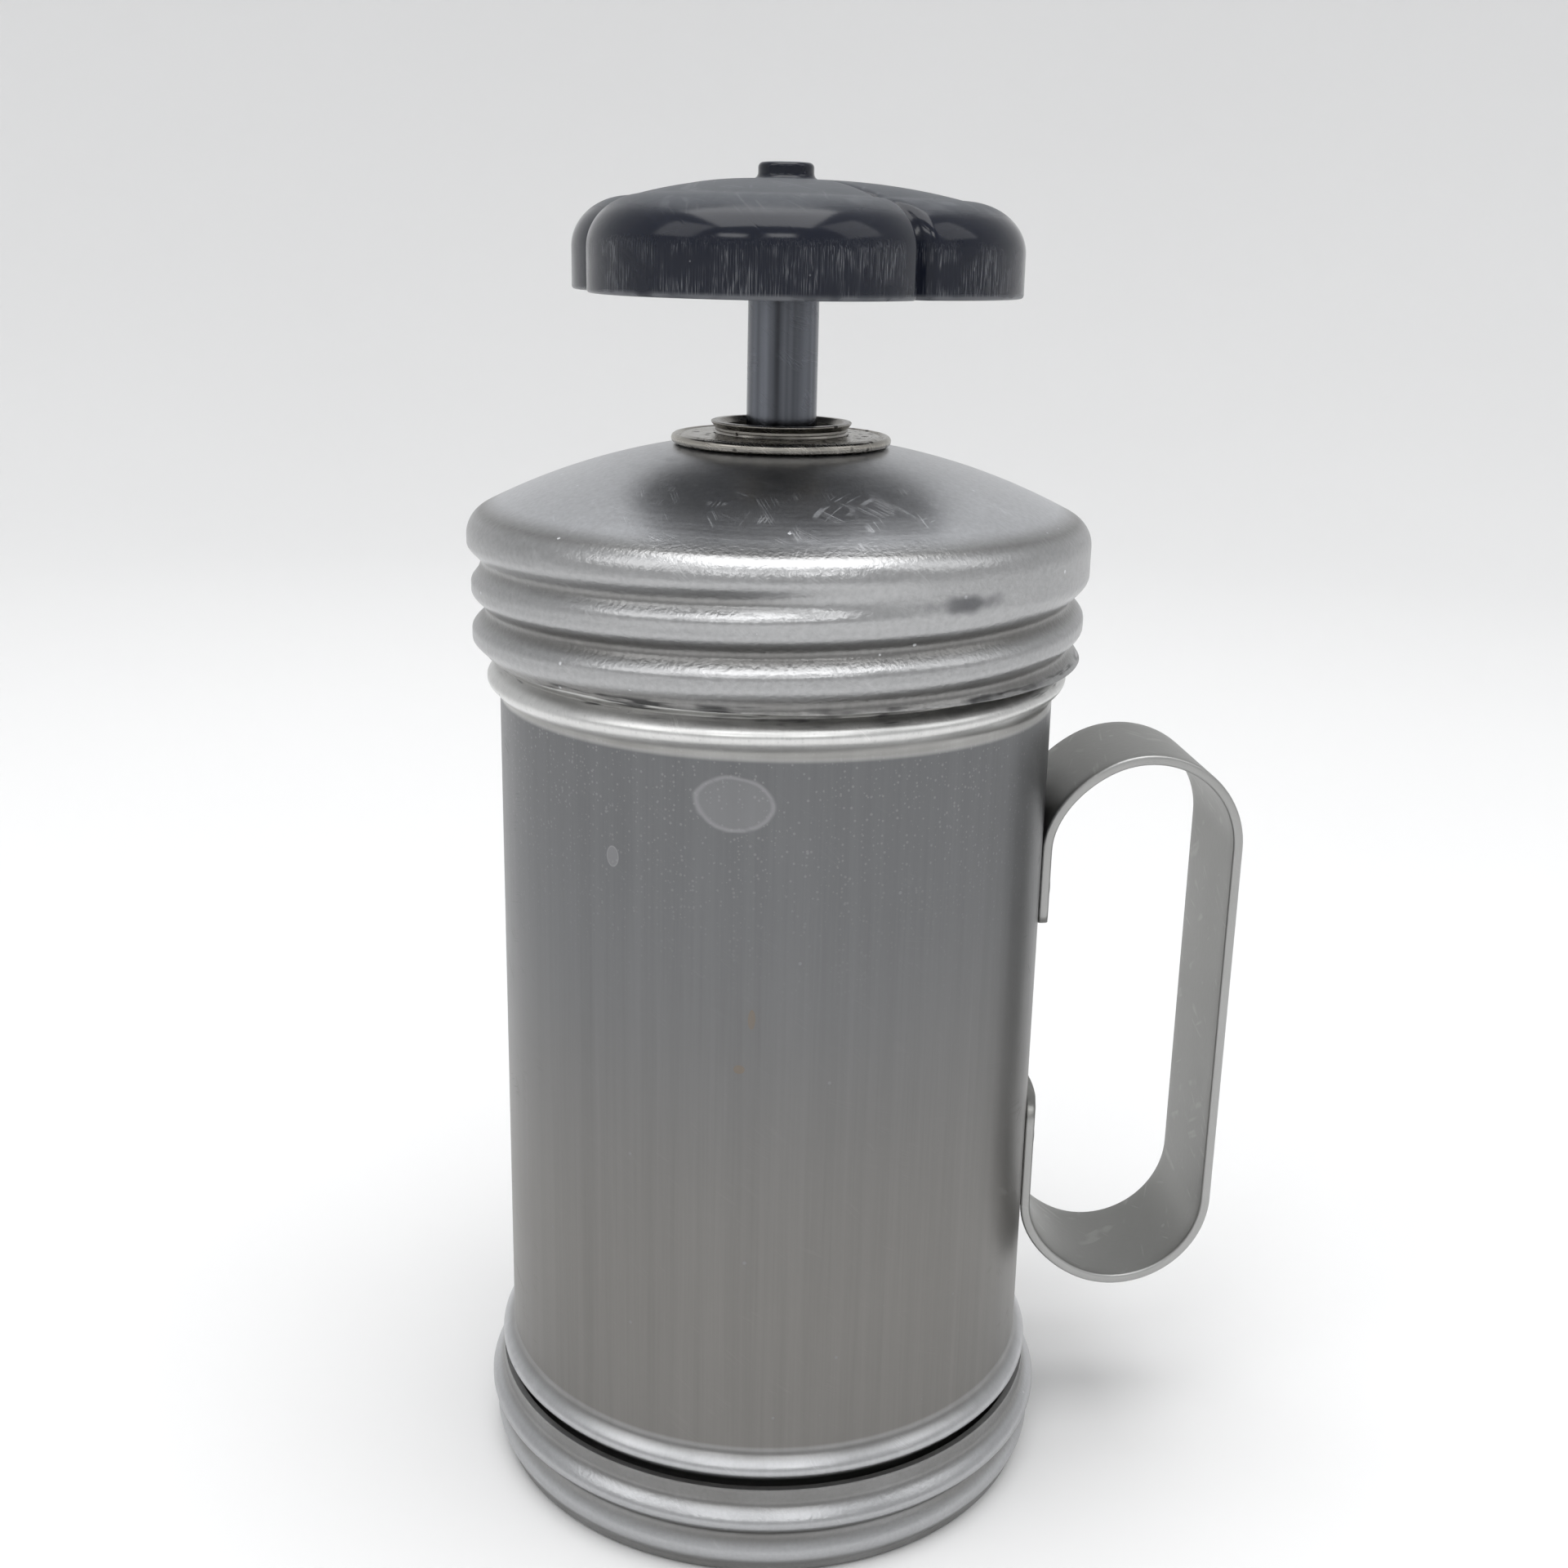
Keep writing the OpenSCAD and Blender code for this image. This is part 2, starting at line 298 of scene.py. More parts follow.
def arc(centre: Point2, radii: Point2, start: float, end: float, count: int) -> list[Point2]:
    """Points along an elliptical arc, with its angles in degrees."""
    return [(centre[0] + radii[0] * math.cos(math.radians(a)),
             centre[1] + radii[1] * math.sin(math.radians(a))) for a in steps(start, end, count)]


def swell(z: float, middle: float, half: float, height: float) -> float:
    """A smooth rolled swelling of the given height round a middle."""
    share = min(1.0, abs(z - middle) / half)
    return height * (1 + math.cos(math.pi * share)) / 2


def sheet(outer: list[Point2], wall: float) -> list[Point2]:
    """Closes an outer outline with the same outline set inwards by the wall."""
    return outer + [(r - wall, z) for r, z in reversed(outer)]


class Span:
    """The room that a CAD node takes: its lowest and highest level and its outer radius."""

    def __init__(self, node: str) -> None:
        """Reads the node's box from the frame."""
        low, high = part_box(node)
        self.low = low.z
        self.high = high.z
        self.radius = high.y


# ---------------------------------------------------------------- turned and threaded sheet


@dataclass(frozen=True)
class Thread:
    """A rolled or cut thread. Height is outwards, so a groove has a negative one."""

    height: float
    middle: float
    low: float
    high: float
    fade: float = 1.2 * MM


@dataclass(frozen=True)
class ThreadForm:
    """What the threads of one piece share."""

    pitch: float = 5.4 * MM
    half_width: float = 2.25 * MM
    squareness: float = 1.0
    last_turn: float = 99.0
    run_out: float = 0.11


NO_THREAD = Thread(0.0, 0.0, 0.0, 0.0)


class TurningTree:
    """Geometry Nodes that turn an outline round the axis and roll a helical thread into it."""

    THREADS = ("Upper", "Lower")
    WOBBLE_SCALE = 2.2
    WOBBLE_REACH = 2.5 * MM

    def __init__(self) -> None:
        """Builds the tree."""
        takes: dict[str, tuple[str, object]] = {
            "Outline": ("NodeSocketGeometry", None),
            "Segments": ("NodeSocketInt", 96),
            "Pitch": (FLOAT, 5.4 * MM),
            "Half width": (FLOAT, 2.25 * MM),
            "Squareness": (FLOAT, 1.0),
            "Last turn": (FLOAT, 99.0),
            "Run out": (FLOAT, 0.1),
            "Least radius": (FLOAT, 0.0),
            "Tilt level": (FLOAT, 0.0),
            "Tilt reach": (FLOAT, 1.0 * MM),
            "Tilt rise": (FLOAT, 0.0),
            "Edge level": (FLOAT, 0.0),
            "Edge wobble": (FLOAT, 0.0),
            "Seed": (FLOAT, 3.0),
            "Finish": ("NodeSocketMaterial", None),
        }
        for side in self.THREADS:
            for label in ("height", "middle", "low", "high", "fade"):
                takes[f"{side} {label}"] = (FLOAT, 1.0 * MM if label == "fade" else 0.0)
        self.tree = new_tree("GeometryNodeTree", "turned_sheet", takes,
                             {"Sheet": "NodeSocketGeometry"})
        self.read, self.sink = ends(self.tree)
        self._fill()

    def _node(self, kind: str, **inputs: object) -> bpy.types.Node:
        """Adds a node to the tree and plugs its inputs."""
        return add_node(self.tree, kind, **inputs)

    def _groove(self, angle: Field, level: Field, middle: Field) -> tuple[Field, Field]:
        """The thread's own shape.

        Args:
            angle: Angle round the axis in radians.
            level: Height of the point.
            middle: Height of the thread's middle line where it crosses +X.

        Returns:
            The shape between 0 and 1, and the turn of the thread that is nearest.
        """
        share = angle / FULL_TURN
        turn = ((level - middle) / self.read("Pitch") - share).calc("ROUND") + share
        away = (level - middle) - turn * self.read("Pitch")
        hump = away.hump(0.0, self.read("Half width"))
        return ((hump - 0.5) * self.read("Squareness") + 0.5).clamped(), turn

    def _thread(self, side: str, angle: Field, level: Field) -> Field:
        """How far one thread moves a point outwards."""
        def value(label: str) -> Field:
            """Reads one of this thread's inputs."""
            return self.read(f"{side} {label}")

        shape, turn = self._groove(angle, level, value("middle"))
        last = self.read("Last turn")
        window = level.rise(value("low"), value("low") + value("fade"))
        window = window * level.rise(value("high"), value("high") - value("fade"))
        return shape * window * turn.rise(last, last - self.read("Run out")) * value("height")

    def _fill(self) -> None:
        """Adds every node of the tree."""
        read, tree = self.read, self.tree
        outline = read("Outline").socket
        count = self._node("GeometryNodeAttributeDomainSize", Geometry=outline)
        rows = Field(tree, count.outputs["Point Count"])
        grid = self._node("GeometryNodeMeshGrid", Size_X=1.0, Size_Y=1.0,
                          Vertices_X=rows, Vertices_Y=read("Segments") + 1.0)
        place = self._node("ShaderNodeSeparateXYZ",
                           Vector=self._node("GeometryNodeInputPosition").outputs[0])
        row = ((Field(tree, place.outputs[0]) + 0.5) * (rows - 1.0)).calc("ROUND")
        angle = (Field(tree, place.outputs[1]) + 0.5) * FULL_TURN

        sample = tree.nodes.new("GeometryNodeSampleIndex")
        sample.data_type = "FLOAT_VECTOR"
        sample.domain = "POINT"
        plug(tree, sample.inputs["Geometry"], outline)
        plug(tree, sample.inputs["Value"], self._node("GeometryNodeInputPosition").outputs[0])
        plug(tree, sample.inputs["Index"], row)
        spot = self._node("ShaderNodeSeparateXYZ", Vector=sample.outputs["Value"])
        radius = Field(tree, spot.outputs[0])
        level = Field(tree, spot.outputs[2])

        push = self._thread("Upper", angle, level) + self._thread("Lower", angle, level)
        push = push * radius.calc("GREATER_THAN", read("Least radius"))
        bow = level.hump(read("Tilt level"), read("Tilt reach")) * angle.cos()
        moved = level + bow * read("Tilt rise")

        around = self._node("ShaderNodeCombineXYZ", X=angle.cos(), Y=angle.sin())
        noise = tree.nodes.new("ShaderNodeTexNoise")
        noise.noise_dimensions = "4D"
        plug(tree, noise.inputs["Vector"], around.outputs[0])
        plug(tree, noise.inputs["W"], read("Seed"))
        noise.inputs["Scale"].default_value = self.WOBBLE_SCALE
        near = level.hump(read("Edge level"), self.WOBBLE_REACH)
        moved = moved + (Field(tree, noise.outputs[0]) - 0.5) * near * read("Edge wobble")

        final = self._node("ShaderNodeCombineXYZ", X=(radius + push) * angle.cos(),
                           Y=(radius + push) * angle.sin(), Z=moved)
        placed = self._node("GeometryNodeSetPosition", Geometry=grid.outputs["Mesh"],
                            Position=final.outputs[0])
        merged = self._node("GeometryNodeMergeByDistance", Geometry=placed.outputs[0],
                            Distance=MERGE_DISTANCE)
        realized = self._node("GeometryNodeRealizeInstances", Geometry=merged.outputs[0])
        dressed = self._node("GeometryNodeSetMaterial", Geometry=realized.outputs[0],
                             Material=read("Finish"))
        plug(tree, self.sink.inputs[0], dressed.outputs[0])


@dataclass
class Turned:
    """One turned piece: its outline, its threads and what it stands for."""

    name: str
    body: str
    slot: str
    nodes: tuple[str, ...]
    outline: list[Point2]
    finish: bpy.types.Material
    closed: bool = True
    segments: int = 192
    form: ThreadForm = field(default_factory=ThreadForm)
    upper: Thread = NO_THREAD
    lower: Thread = NO_THREAD
    extra: dict[str, float] = field(default_factory=dict)

    def build(self, turning: TurningTree) -> bpy.types.Object:
        """Turns the outline into a plain mesh that rides on its body.

        Args:
            turning: The shared tree.

        Returns:
            The finished piece.
        """
        line = self.outline + self.outline[:1] if self.closed else self.outline
        mesh = bpy.data.meshes.new(self.name)
        mesh.from_pydata([(r, 0.0, z) for r, z in line],
                         [(i, i + 1) for i in range(len(line) - 1)], [])
        values: dict[str, object] = {
            "Segments": self.segments, "Pitch": self.form.pitch,
            "Half width": self.form.half_width, "Squareness": self.form.squareness,
            "Last turn": self.form.last_turn, "Run out": self.form.run_out,
            "Finish": self.finish, **self.extra}
        for side, thread in (("Upper", self.upper), ("Lower", self.lower)):
            values |= {f"{side} height": thread.height, f"{side} middle": thread.middle,
                       f"{side} low": thread.low, f"{side} high": thread.high,
                       f"{side} fade": thread.fade}
        piece = run_tree(add_object(self.name, mesh), turning.tree, values)
        return hand_over(piece, self.body, self.slot, *self.nodes)


def hand_over(piece: bpy.types.Object, body: str, slot: str, *nodes: str) -> bpy.types.Object:
    """Parents a finished piece to its body and hides the CAD nodes that it stands for.

    Args:
        piece: The object, with its place in its mesh.
        body: The CAD body that it moves with.
        slot: Not used.
        nodes: The CAD nodes that it stands for.

    Returns:
        The same object.
    """
    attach(piece, body)
    if nodes:
        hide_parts(*nodes)
    log.info("%s rides on %s, %d faces", piece.name, body, len(piece.data.polygons))
    return piece


# ---------------------------------------------------------------- shader groups


class Effects:
    """The surface effects that the finishes share, each one a shader node group."""

    GRAIN_ROUGHNESS = 0.6
    SCRATCH_TURNS = ((0.3, 0.9, 0.4), (1.2, -0.5, 1.1), (-0.8, 0.2, 2.3))
    SCRATCH_LENGTHENING = 0.012
    SCRATCH_EDGES = (0.06, 0.01)
    SCRATCH_PATCHES = (420.0, 170.0, 300.0)
    PATCH_SOFTNESS = 0.12
    RIM_PLACE, RIM_HALF = 0.93, 0.12
    MARK_EDGE = 1.02
    MARK_WOBBLE_SCALE = 260.0

    def __init__(self) -> None:
        """Builds the groups once."""
        self.groups = {
            "straight_grain": self._straight_grain(),
            "round_grain": self._round_grain(),
            "cloud": self._cloud(),
            "scratches": self._scratches(),
            "specks": self._specks(),
            "ring_mark": self._ring_mark(),
        }

    @staticmethod
    def _noise(tree: bpy.types.NodeTree, vector: object, detail: float = 2.0,
               rough: float = 0.5, w: Field | None = None) -> Field:
        """Adds a noise of scale 1 over a vector."""
        node = add_node(tree, "ShaderNodeTexNoise", Vector=vector, Scale=1.0, Detail=detail,
                        Roughness=rough)
        node.noise_dimensions = "3D" if w is None else "4D"
        if w is not None:
            plug(tree, node.inputs["W"], w)
        return Field(tree, node.outputs[0])

    @staticmethod
    def _split(tree: bpy.types.NodeTree, vector: Field) -> list[Field]:
        """The three numbers of a vector."""
        node = add_node(tree, "ShaderNodeSeparateXYZ", Vector=vector)
        return [Field(tree, socket) for socket in node.outputs]

    @staticmethod
    def _join(tree: bpy.types.NodeTree, *parts: Field | float) -> bpy.types.NodeSocket:
        """A vector made of three numbers."""
        node = tree.nodes.new("ShaderNodeCombineXYZ")
        for socket, value in zip(node.inputs, parts):
            plug(tree, socket, value)
        return node.outputs[0]

    def _straight_grain(self) -> bpy.types.NodeTree:
        """Fine lines along Z."""
        tree = new_tree("ShaderNodeTree", "straight_grain",
                        {"Vector": (VECTOR, None), "Fineness": (FLOAT, 2500.0),
                         "Stretch": (FLOAT, 60.0)}, {"Value": FLOAT})
        read, sink = ends(tree)
        x, y, z = self._split(tree, read("Vector"))
        fine = read("Fineness")
        vector = self._join(tree, x * fine, y * fine, z * (fine / read("Stretch")))
        plug(tree, sink.inputs[0], self._noise(tree, vector, rough=self.GRAIN_ROUGHNESS))
        return tree

    def _round_grain(self) -> bpy.types.NodeTree:
        """Fine lines round the Z axis."""
        tree = new_tree("ShaderNodeTree", "round_grain",
                        {"Vector": (VECTOR, None), "Fineness": (FLOAT, 2500.0),
                         "Bend": (FLOAT, 2.0)}, {"Value": FLOAT})
        read, sink = ends(tree)
        x, y, z = self._split(tree, read("Vector"))
        radius = (x * x + y * y).calc("SQRT") + 1e-6
        vector = self._join(tree, radius * read("Fineness"), z * read("Fineness"),
                            x / radius * read("Bend"))
        plug(tree, sink.inputs[0], self._noise(tree, vector, rough=self.GRAIN_ROUGHNESS,
                                               w=y / radius * read("Bend")))
        return tree

    def _cloud(self) -> bpy.types.NodeTree:
        """Soft blotches, or an orange peel at a small scale."""
        tree = new_tree("ShaderNodeTree", "cloud",
                        {"Vector": (VECTOR, None), "Scale": (FLOAT, 60.0),
                         "Seed": (FLOAT, 0.0)}, {"Value": FLOAT})
        read, sink = ends(tree)
        x, y, z = self._split(tree, read("Vector"))
        scale = read("Scale")
        vector = self._join(tree, x * scale, y * scale, z * scale)
        plug(tree, sink.inputs[0], self._noise(tree, vector, 2.0, 0.55, read("Seed")))
        return tree

    def _scratches(self) -> bpy.types.NodeTree:
        """Thin straight scratches in three directions, broken up in patches."""
        tree = new_tree("ShaderNodeTree", "scratches",
                        {"Vector": (VECTOR, None), "Fineness": (FLOAT, 900.0),
                         "Amount": (FLOAT, 0.5)}, {"Mask": FLOAT})
        read, sink = ends(tree)
        total: Field | None = None
        for seed, turn in enumerate(self.SCRATCH_TURNS):
            node = tree.nodes.new("ShaderNodeVectorRotate")
            node.rotation_type = "EULER_XYZ"
            plug(tree, node.inputs["Vector"], read("Vector"))
            node.inputs["Rotation"].default_value = turn
            x, y, z = self._split(tree, Field(tree, node.outputs[0]))
            fine, least = read("Fineness"), read("Amount").flipped()
            along = fine * self.SCRATCH_LENGTHENING
            line = self._noise(tree, self._join(tree, x * fine + seed * 9.1, y * along,
                                                z * along), 0.0)
            thin = (line - 0.5).abs().rise(*self.SCRATCH_EDGES)
            wide, tall, deep = self.SCRATCH_PATCHES
            patch = self._noise(tree, self._join(tree, x * wide + seed * 5.3, y * tall,
                                                 z * deep), 1.0)
            part = thin * patch.rise(least, least + self.PATCH_SOFTNESS)
            total = part if total is None else total.calc("MAXIMUM", part)
        plug(tree, sink.inputs[0], total)
        return tree

    def _specks(self) -> bpy.types.NodeTree:
        """Small round specks of dust, or pits."""
        tree = new_tree("ShaderNodeTree", "specks",
                        {"Vector": (VECTOR, None), "Fineness": (FLOAT, 700.0),
                         "Size": (FLOAT, 0.3), "Amount": (FLOAT, 0.2)}, {"Mask": FLOAT})
        read, sink = ends(tree)
        node = add_node(tree, "ShaderNodeTexVoronoi", Vector=read("Vector"),
                        Scale=read("Fineness"))
        chance, size, _ = self._split(tree, Field(tree, node.outputs["Color"]))
        reach = read("Size") * (size * 0.8 + 0.2)
        inside = Field(tree, node.outputs["Distance"]).rise(reach, reach * 0.5)
        plug(tree, sink.inputs[0], inside * chance.calc("LESS_THAN", read("Amount")))
        return tree

    def _ring_mark(self) -> bpy.types.NodeTree:
        """A dried drop: an oval with a raised rim, seen from the front."""
        tree = new_tree("ShaderNodeTree", "ring_mark",
                        {"Vector": (VECTOR, None), "Centre": (VECTOR, None),
                         "Half width": (FLOAT, 5 * MM), "Half height": (FLOAT, 3 * MM),
                         "Wobble": (FLOAT, 0.15), "Softness": (FLOAT, 0.12)},
                        {"Rim": FLOAT, "Inside": FLOAT})
        read, sink = ends(tree)
        here = self._split(tree, read("Vector"))
        centre = self._split(tree, read("Centre"))
        scales = (read("Half width"), read("Half width"), read("Half height"))
        parts = [(a - b) / s for a, b, s in zip(here, centre, scales)]
        away = (parts[0] * parts[0] + parts[1] * parts[1] + parts[2] * parts[2]).calc("SQRT")
        bend = self._noise(tree, self._join(tree, *[h * self.MARK_WOBBLE_SCALE for h in here]))
        away = away + (bend - 0.5) * read("Wobble") * 2.0
        plug(tree, sink.inputs["Rim"], (away - self.RIM_PLACE).abs().rise(self.RIM_HALF, 0.0))
        inner = read("Softness") * -1.0 + self.MARK_EDGE
        plug(tree, sink.inputs["Inside"], away.rise(self.MARK_EDGE, inner))
        return tree


EFFECTS = Effects()


class Paint:
    """One material under construction, with its Principled shader and its coordinates."""

    def __init__(self, name: str) -> None:
        """Starts an empty material."""
        self.material = bpy.data.materials.new(name)
        self.material.use_nodes = True
        self.tree = self.material.node_tree
        self.shader = next(n for n in self.tree.nodes if n.bl_idname == "ShaderNodeBsdfPrincipled")
        coords = self.tree.nodes.new("ShaderNodeTexCoord")
        self.spot = Field(self.tree, coords.outputs["Object"])
        node = self.tree.nodes.new("ShaderNodeSeparateXYZ")
        plug(self.tree, node.inputs[0], self.spot)
        self.x, self.y, self.z = (Field(self.tree, socket) for socket in node.outputs)

    def effect(self, name: str, output: str = "", **values: object) -> Field:
        """Places one of the shared effects.

        Args:
            name: The effect's name.
            output: Which of its outputs is wanted; the first one if not given.
            values: Its inputs, with _ for a space.

        Returns:
            The effect's value over the surface.
        """
        node = self.tree.nodes.new("ShaderNodeGroup")
        node.node_tree = EFFECTS.groups[name]
        plug(self.tree, node.inputs["Vector"], self.spot)
        for label, value in values.items():
            plug(self.tree, node.inputs[label.replace("_", " ")], value)
        return Field(self.tree, node.outputs[output] if output else node.outputs[0])

    def facing_up(self) -> Field:
        """How far the surface faces upwards, from -1 to 1."""
        node = self.tree.nodes.new("ShaderNodeNewGeometry")
        split = self.tree.nodes.new("ShaderNodeSeparateXYZ")
        plug(self.tree, split.inputs[0], node.outputs["Normal"])
        return Field(self.tree, split.outputs[2])

    def blend(self, below: object, above: object, share: Field) -> Field:
        """Mixes two colours by a mask; each is a colour of three numbers or a field."""
        node = self.tree.nodes.new("ShaderNodeMix")
        node.data_type = "RGBA"
        sockets = [s for s in node.inputs if s.enabled]
        plug(self.tree, sockets[0], share.clamped())
        for socket, value in zip(sockets[1:], (below, above)):
            plug(self.tree, socket, (*value, 1.0) if isinstance(value, tuple) else value)
        return Field(self.tree, next(s for s in node.outputs if s.enabled))

    def scaled(self, colour: object, tone: Field) -> Field:
        """A colour made lighter or darker by a field."""
        node = self.tree.nodes.new("ShaderNodeVectorMath")
        node.operation = "SCALE"
        plug(self.tree, node.inputs[0], colour)
        plug(self.tree, node.inputs["Scale"], tone)
        return Field(self.tree, node.outputs[0])

    def finish(self, colour: Field, roughness: Field, height: Field, depth: float,
               **constants: float) -> bpy.types.Material:
        """Connects the shader.

        Args:
            colour: Base colour.
            roughness: Roughness.
            height: Relief, in shares of the depth.
            depth: Depth of the relief in metres.
            constants: Values for the shader's own sockets, with _ for a space.

        Returns:
            The finished material.
        """
        bump = self.tree.nodes.new("ShaderNodeBump")
        bump.inputs["Strength"].default_value = 1.0
        bump.inputs["Distance"].default_value = depth
        plug(self.tree, bump.inputs["Height"], height)
        plug(self.tree, self.shader.inputs["Normal"], bump.outputs[0])
        plug(self.tree, self.shader.inputs["Base Color"], colour)
        plug(self.tree, self.shader.inputs["Roughness"], roughness.clamped())
        for label, value in constants.items():
            self.shader.inputs[label.replace("_", " ")].default_value = value
        return self.material


# ---------------------------------------------------------------- finishes


class Grain(Enum):
    """Which way the fine lines of a metal run."""

    UP = "straight_grain"
    ROUND = "round_grain"


@dataclass(frozen=True)
class Mark:
    """A dried drop or a dull patch on a metal."""

    centre: tuple[float, float, float]
    half_width: float
    half_height: float
    colour: Colour
    rim: float
    inside: float
    wobble: float = 0.15
    patchy: float = 1.0
    soft: float = 0.12


@dataclass(frozen=True)
class PaintedLightStretch:
    """A stretch of a metal piece, between two levels, coloured as a painted highlight or painted
    shade, with its own roughness and relief.
    """

    low: float
    high: float
    colour: Colour
    roughness: float
    fade: float = 0.8 * MM


RELIEF_DEPTH = 0.02 * MM
# Colour of the soiling and painted shade in the grooves.
GROOVE_SOIL_AND_SHADE_TONE = (0.135, 0.13, 0.12)
HAZE_TONE = (0.42, 0.42, 0.42)
HAZE_UNEVENNESS = 16 * MM
# Near black for scuff marks and the painted shade where the cap's edge meets the barrel.
RUB_AND_JOINT_SHADE_TONE = (0.03, 0.03, 0.032)
RUB_AND_SHADE_FADE = 0.5 * MM
PIT_TONE = (0.03, 0.028, 0.025)
FOOT_LEVELS = (88 * MM, 30 * MM)
FOOT_UNEVENNESS = 20 * MM


@dataclass
class Coat:
    """What a metal finish has gathered so far: its colour, roughness and relief."""

    colour: object
    roughness: Field
    height: Field


@dataclass(frozen=True)
class Metal:
    """A bare metal finish.

    grain_and_reflection_tone, blotch, scratch_tone and streaks say how strongly each effect
    changes the brightness; a coarse, strong grain paints reflection streaks. scratches, dust and
    pits say how much of each there is. peel is the strength of an orange-peel relief and depth
    the relief's full depth. rubs_and_joint_shade are pairs of levels for scuff marks and painted
    shade.
    groove_soil_and_shade is the radius up to which soiling and painted shade in the grooves are
    full and the one where they end. foot is the colour at the lower end, and haze the levels
    where a dusty film starts and is full.
    """

    name: str
    colour: Colour
    roughness: float
    grain: Grain = Grain.ROUND
    fineness: float = 2500.0
    grain_and_reflection_tone: float = 0.1
    grain_depth: float = 0.4
    blotch: float = 0.12
    peel: float = 0.0
    peel_scale: float = 900.0
    scratches: float = 0.42
    scratch_tone: float = 0.25
    dust: float = 0.06
    pits: float = 0.0
    depth: float = RELIEF_DEPTH
    marks: tuple[Mark, ...] = ()
    painted_light_stretches: tuple[PaintedLightStretch, ...] = ()
    rubs_and_joint_shade: tuple[Point2, ...] = ()
    groove_soil_and_shade: Point2 = (0.0, 0.0)
    streaks: float = 0.0
    foot: Colour | None = None
    haze: Point2 = (0.0, 0.0)

    def material(self) -> bpy.types.Material:
        """Builds the finish as a material."""
        paint = Paint(self.name)
        cloud = paint.effect("cloud", Scale=70.0, Seed=2.0) - 0.5
        dust = paint.effect("specks", Fineness=560.0, Size=0.16, Amount=self.dust)
        coat, tone, plain = self._bare(paint, cloud, dust)
        relief: Field | None = None
        # Each stretch paints a highlight or a shade into the colour between its levels.
        for band in self.painted_light_stretches:
            here = self._between(paint.z, band.low, band.high, band.fade)
            plain = paint.blend(plain, band.colour, here)
            coat.roughness = coat.roughness + here * (band.roughness - self.roughness)
            relief = here if relief is None else relief + here
        coat.colour = paint.scaled(plain, tone)
        self._soil(paint, coat, cloud, dust, relief)
        if self.peel:
            peel = (paint.effect("cloud", Scale=self.peel_scale, Seed=9.0) - 0.5) * self.peel
            share = peel if relief is None else peel * (relief * 0.75 + 0.25)
            coat.height = coat.height + share
            coat.colour = paint.scaled(coat.colour, peel * 0.12 + 1.0)
        self._wear(paint, coat, cloud)
        return paint.finish(coat.colour, coat.roughness, coat.height, self.depth, Metallic=1.0)

    @staticmethod
    def _between(level: Field, low: float, high: float, fade: float) -> Field:
        """1 between two levels, fading out inside both of them."""
        return level.rise(low, low + fade) * level.rise(high, high - fade)

    def _bare(self, paint: Paint, cloud: Field, dust: Field) -> tuple[Coat, Field, object]:
        """The clean metal.

        Args:
            paint: The material.
            cloud: Soft blotches.
            dust: Specks.

        Returns:
            The roughness and relief, the brightness, and the colour before the brightness.
        """
        grain = paint.effect(self.grain.value, Fineness=self.fineness) - 0.5
        broad = paint.effect("cloud", Scale=18.0, Seed=5.0) - 0.5
        scratch = paint.effect("scratches", Fineness=3400.0, Amount=self.scratches)
        # A coarse, strong grain paints reflection streaks, as on the spindle.
        tone = grain * self.grain_and_reflection_tone + (cloud + broad) * self.blotch + 1.0
        tone = tone + scratch * self.scratch_tone
        if self.streaks:
            run = paint.effect("straight_grain", Fineness=620.0, Stretch=70.0) - 0.5
            tone = tone + run * self.streaks
        plain: object = self.colour
        if self.foot:
            level = paint.z + broad * FOOT_UNEVENNESS
            plain = paint.blend(plain, self.foot, level.rise(*FOOT_LEVELS))
        roughness = cloud * 0.12 + grain * 0.1 + scratch * 0.12 + dust * 0.2 + self.roughness
        height = grain * self.grain_depth - scratch * 0.2 + dust * 0.6
        return Coat(plain, roughness, height), tone, plain

    def _soil(self, paint: Paint, coat: Coat, cloud: Field, dust: Field,
              relief: Field | None) -> None:
        """Adds the soiling and painted shade in the grooves, the dust and the dusty haze to the
        colour.

        Args:
            paint: The material.
            coat: The finish so far, which is changed.
            cloud: Soft blotches.
            dust: Specks.
            relief: Where the painted light stretches are, if any. The groove soiling and painted
                shade keep to them.
        """
        # Darkens below a radius, in the grooves: soiling and painted shade.
        if self.groove_soil_and_shade[1]:
            radius = (paint.x * paint.x + paint.y * paint.y).calc("SQRT")
            soil_and_shade_share = radius.rise(self.groove_soil_and_shade[1], self.groove_soil_and_shade[0]) * (cloud * 0.8 + 0.8)
            soil_and_shade_share = soil_and_shade_share if relief is None else soil_and_shade_share * relief
            coat.colour = paint.blend(coat.colour, GROOVE_SOIL_AND_SHADE_TONE, soil_and_shade_share * 0.8)
        pale = tuple(min(1.0, c * 1.5 + 0.05) for c in self.colour)
        coat.colour = paint.blend(coat.colour, pale, dust * 0.6)
        if self.haze[1]:
            film = paint.effect("specks", Fineness=2400.0, Size=0.5, Amount=0.5)
            film = film * (paint.z + cloud * HAZE_UNEVENNESS).rise(*self.haze)
            coat.colour = paint.blend(coat.colour, HAZE_TONE, film * 0.26)

    def _wear(self, paint: Paint, coat: Coat, cloud: Field) -> None:
        """Adds scuff marks with painted shade between given levels, pits and marks.

        Args:
            paint: The material.
            coat: The finish so far, which is changed.
            cloud: Soft blotches.
        """
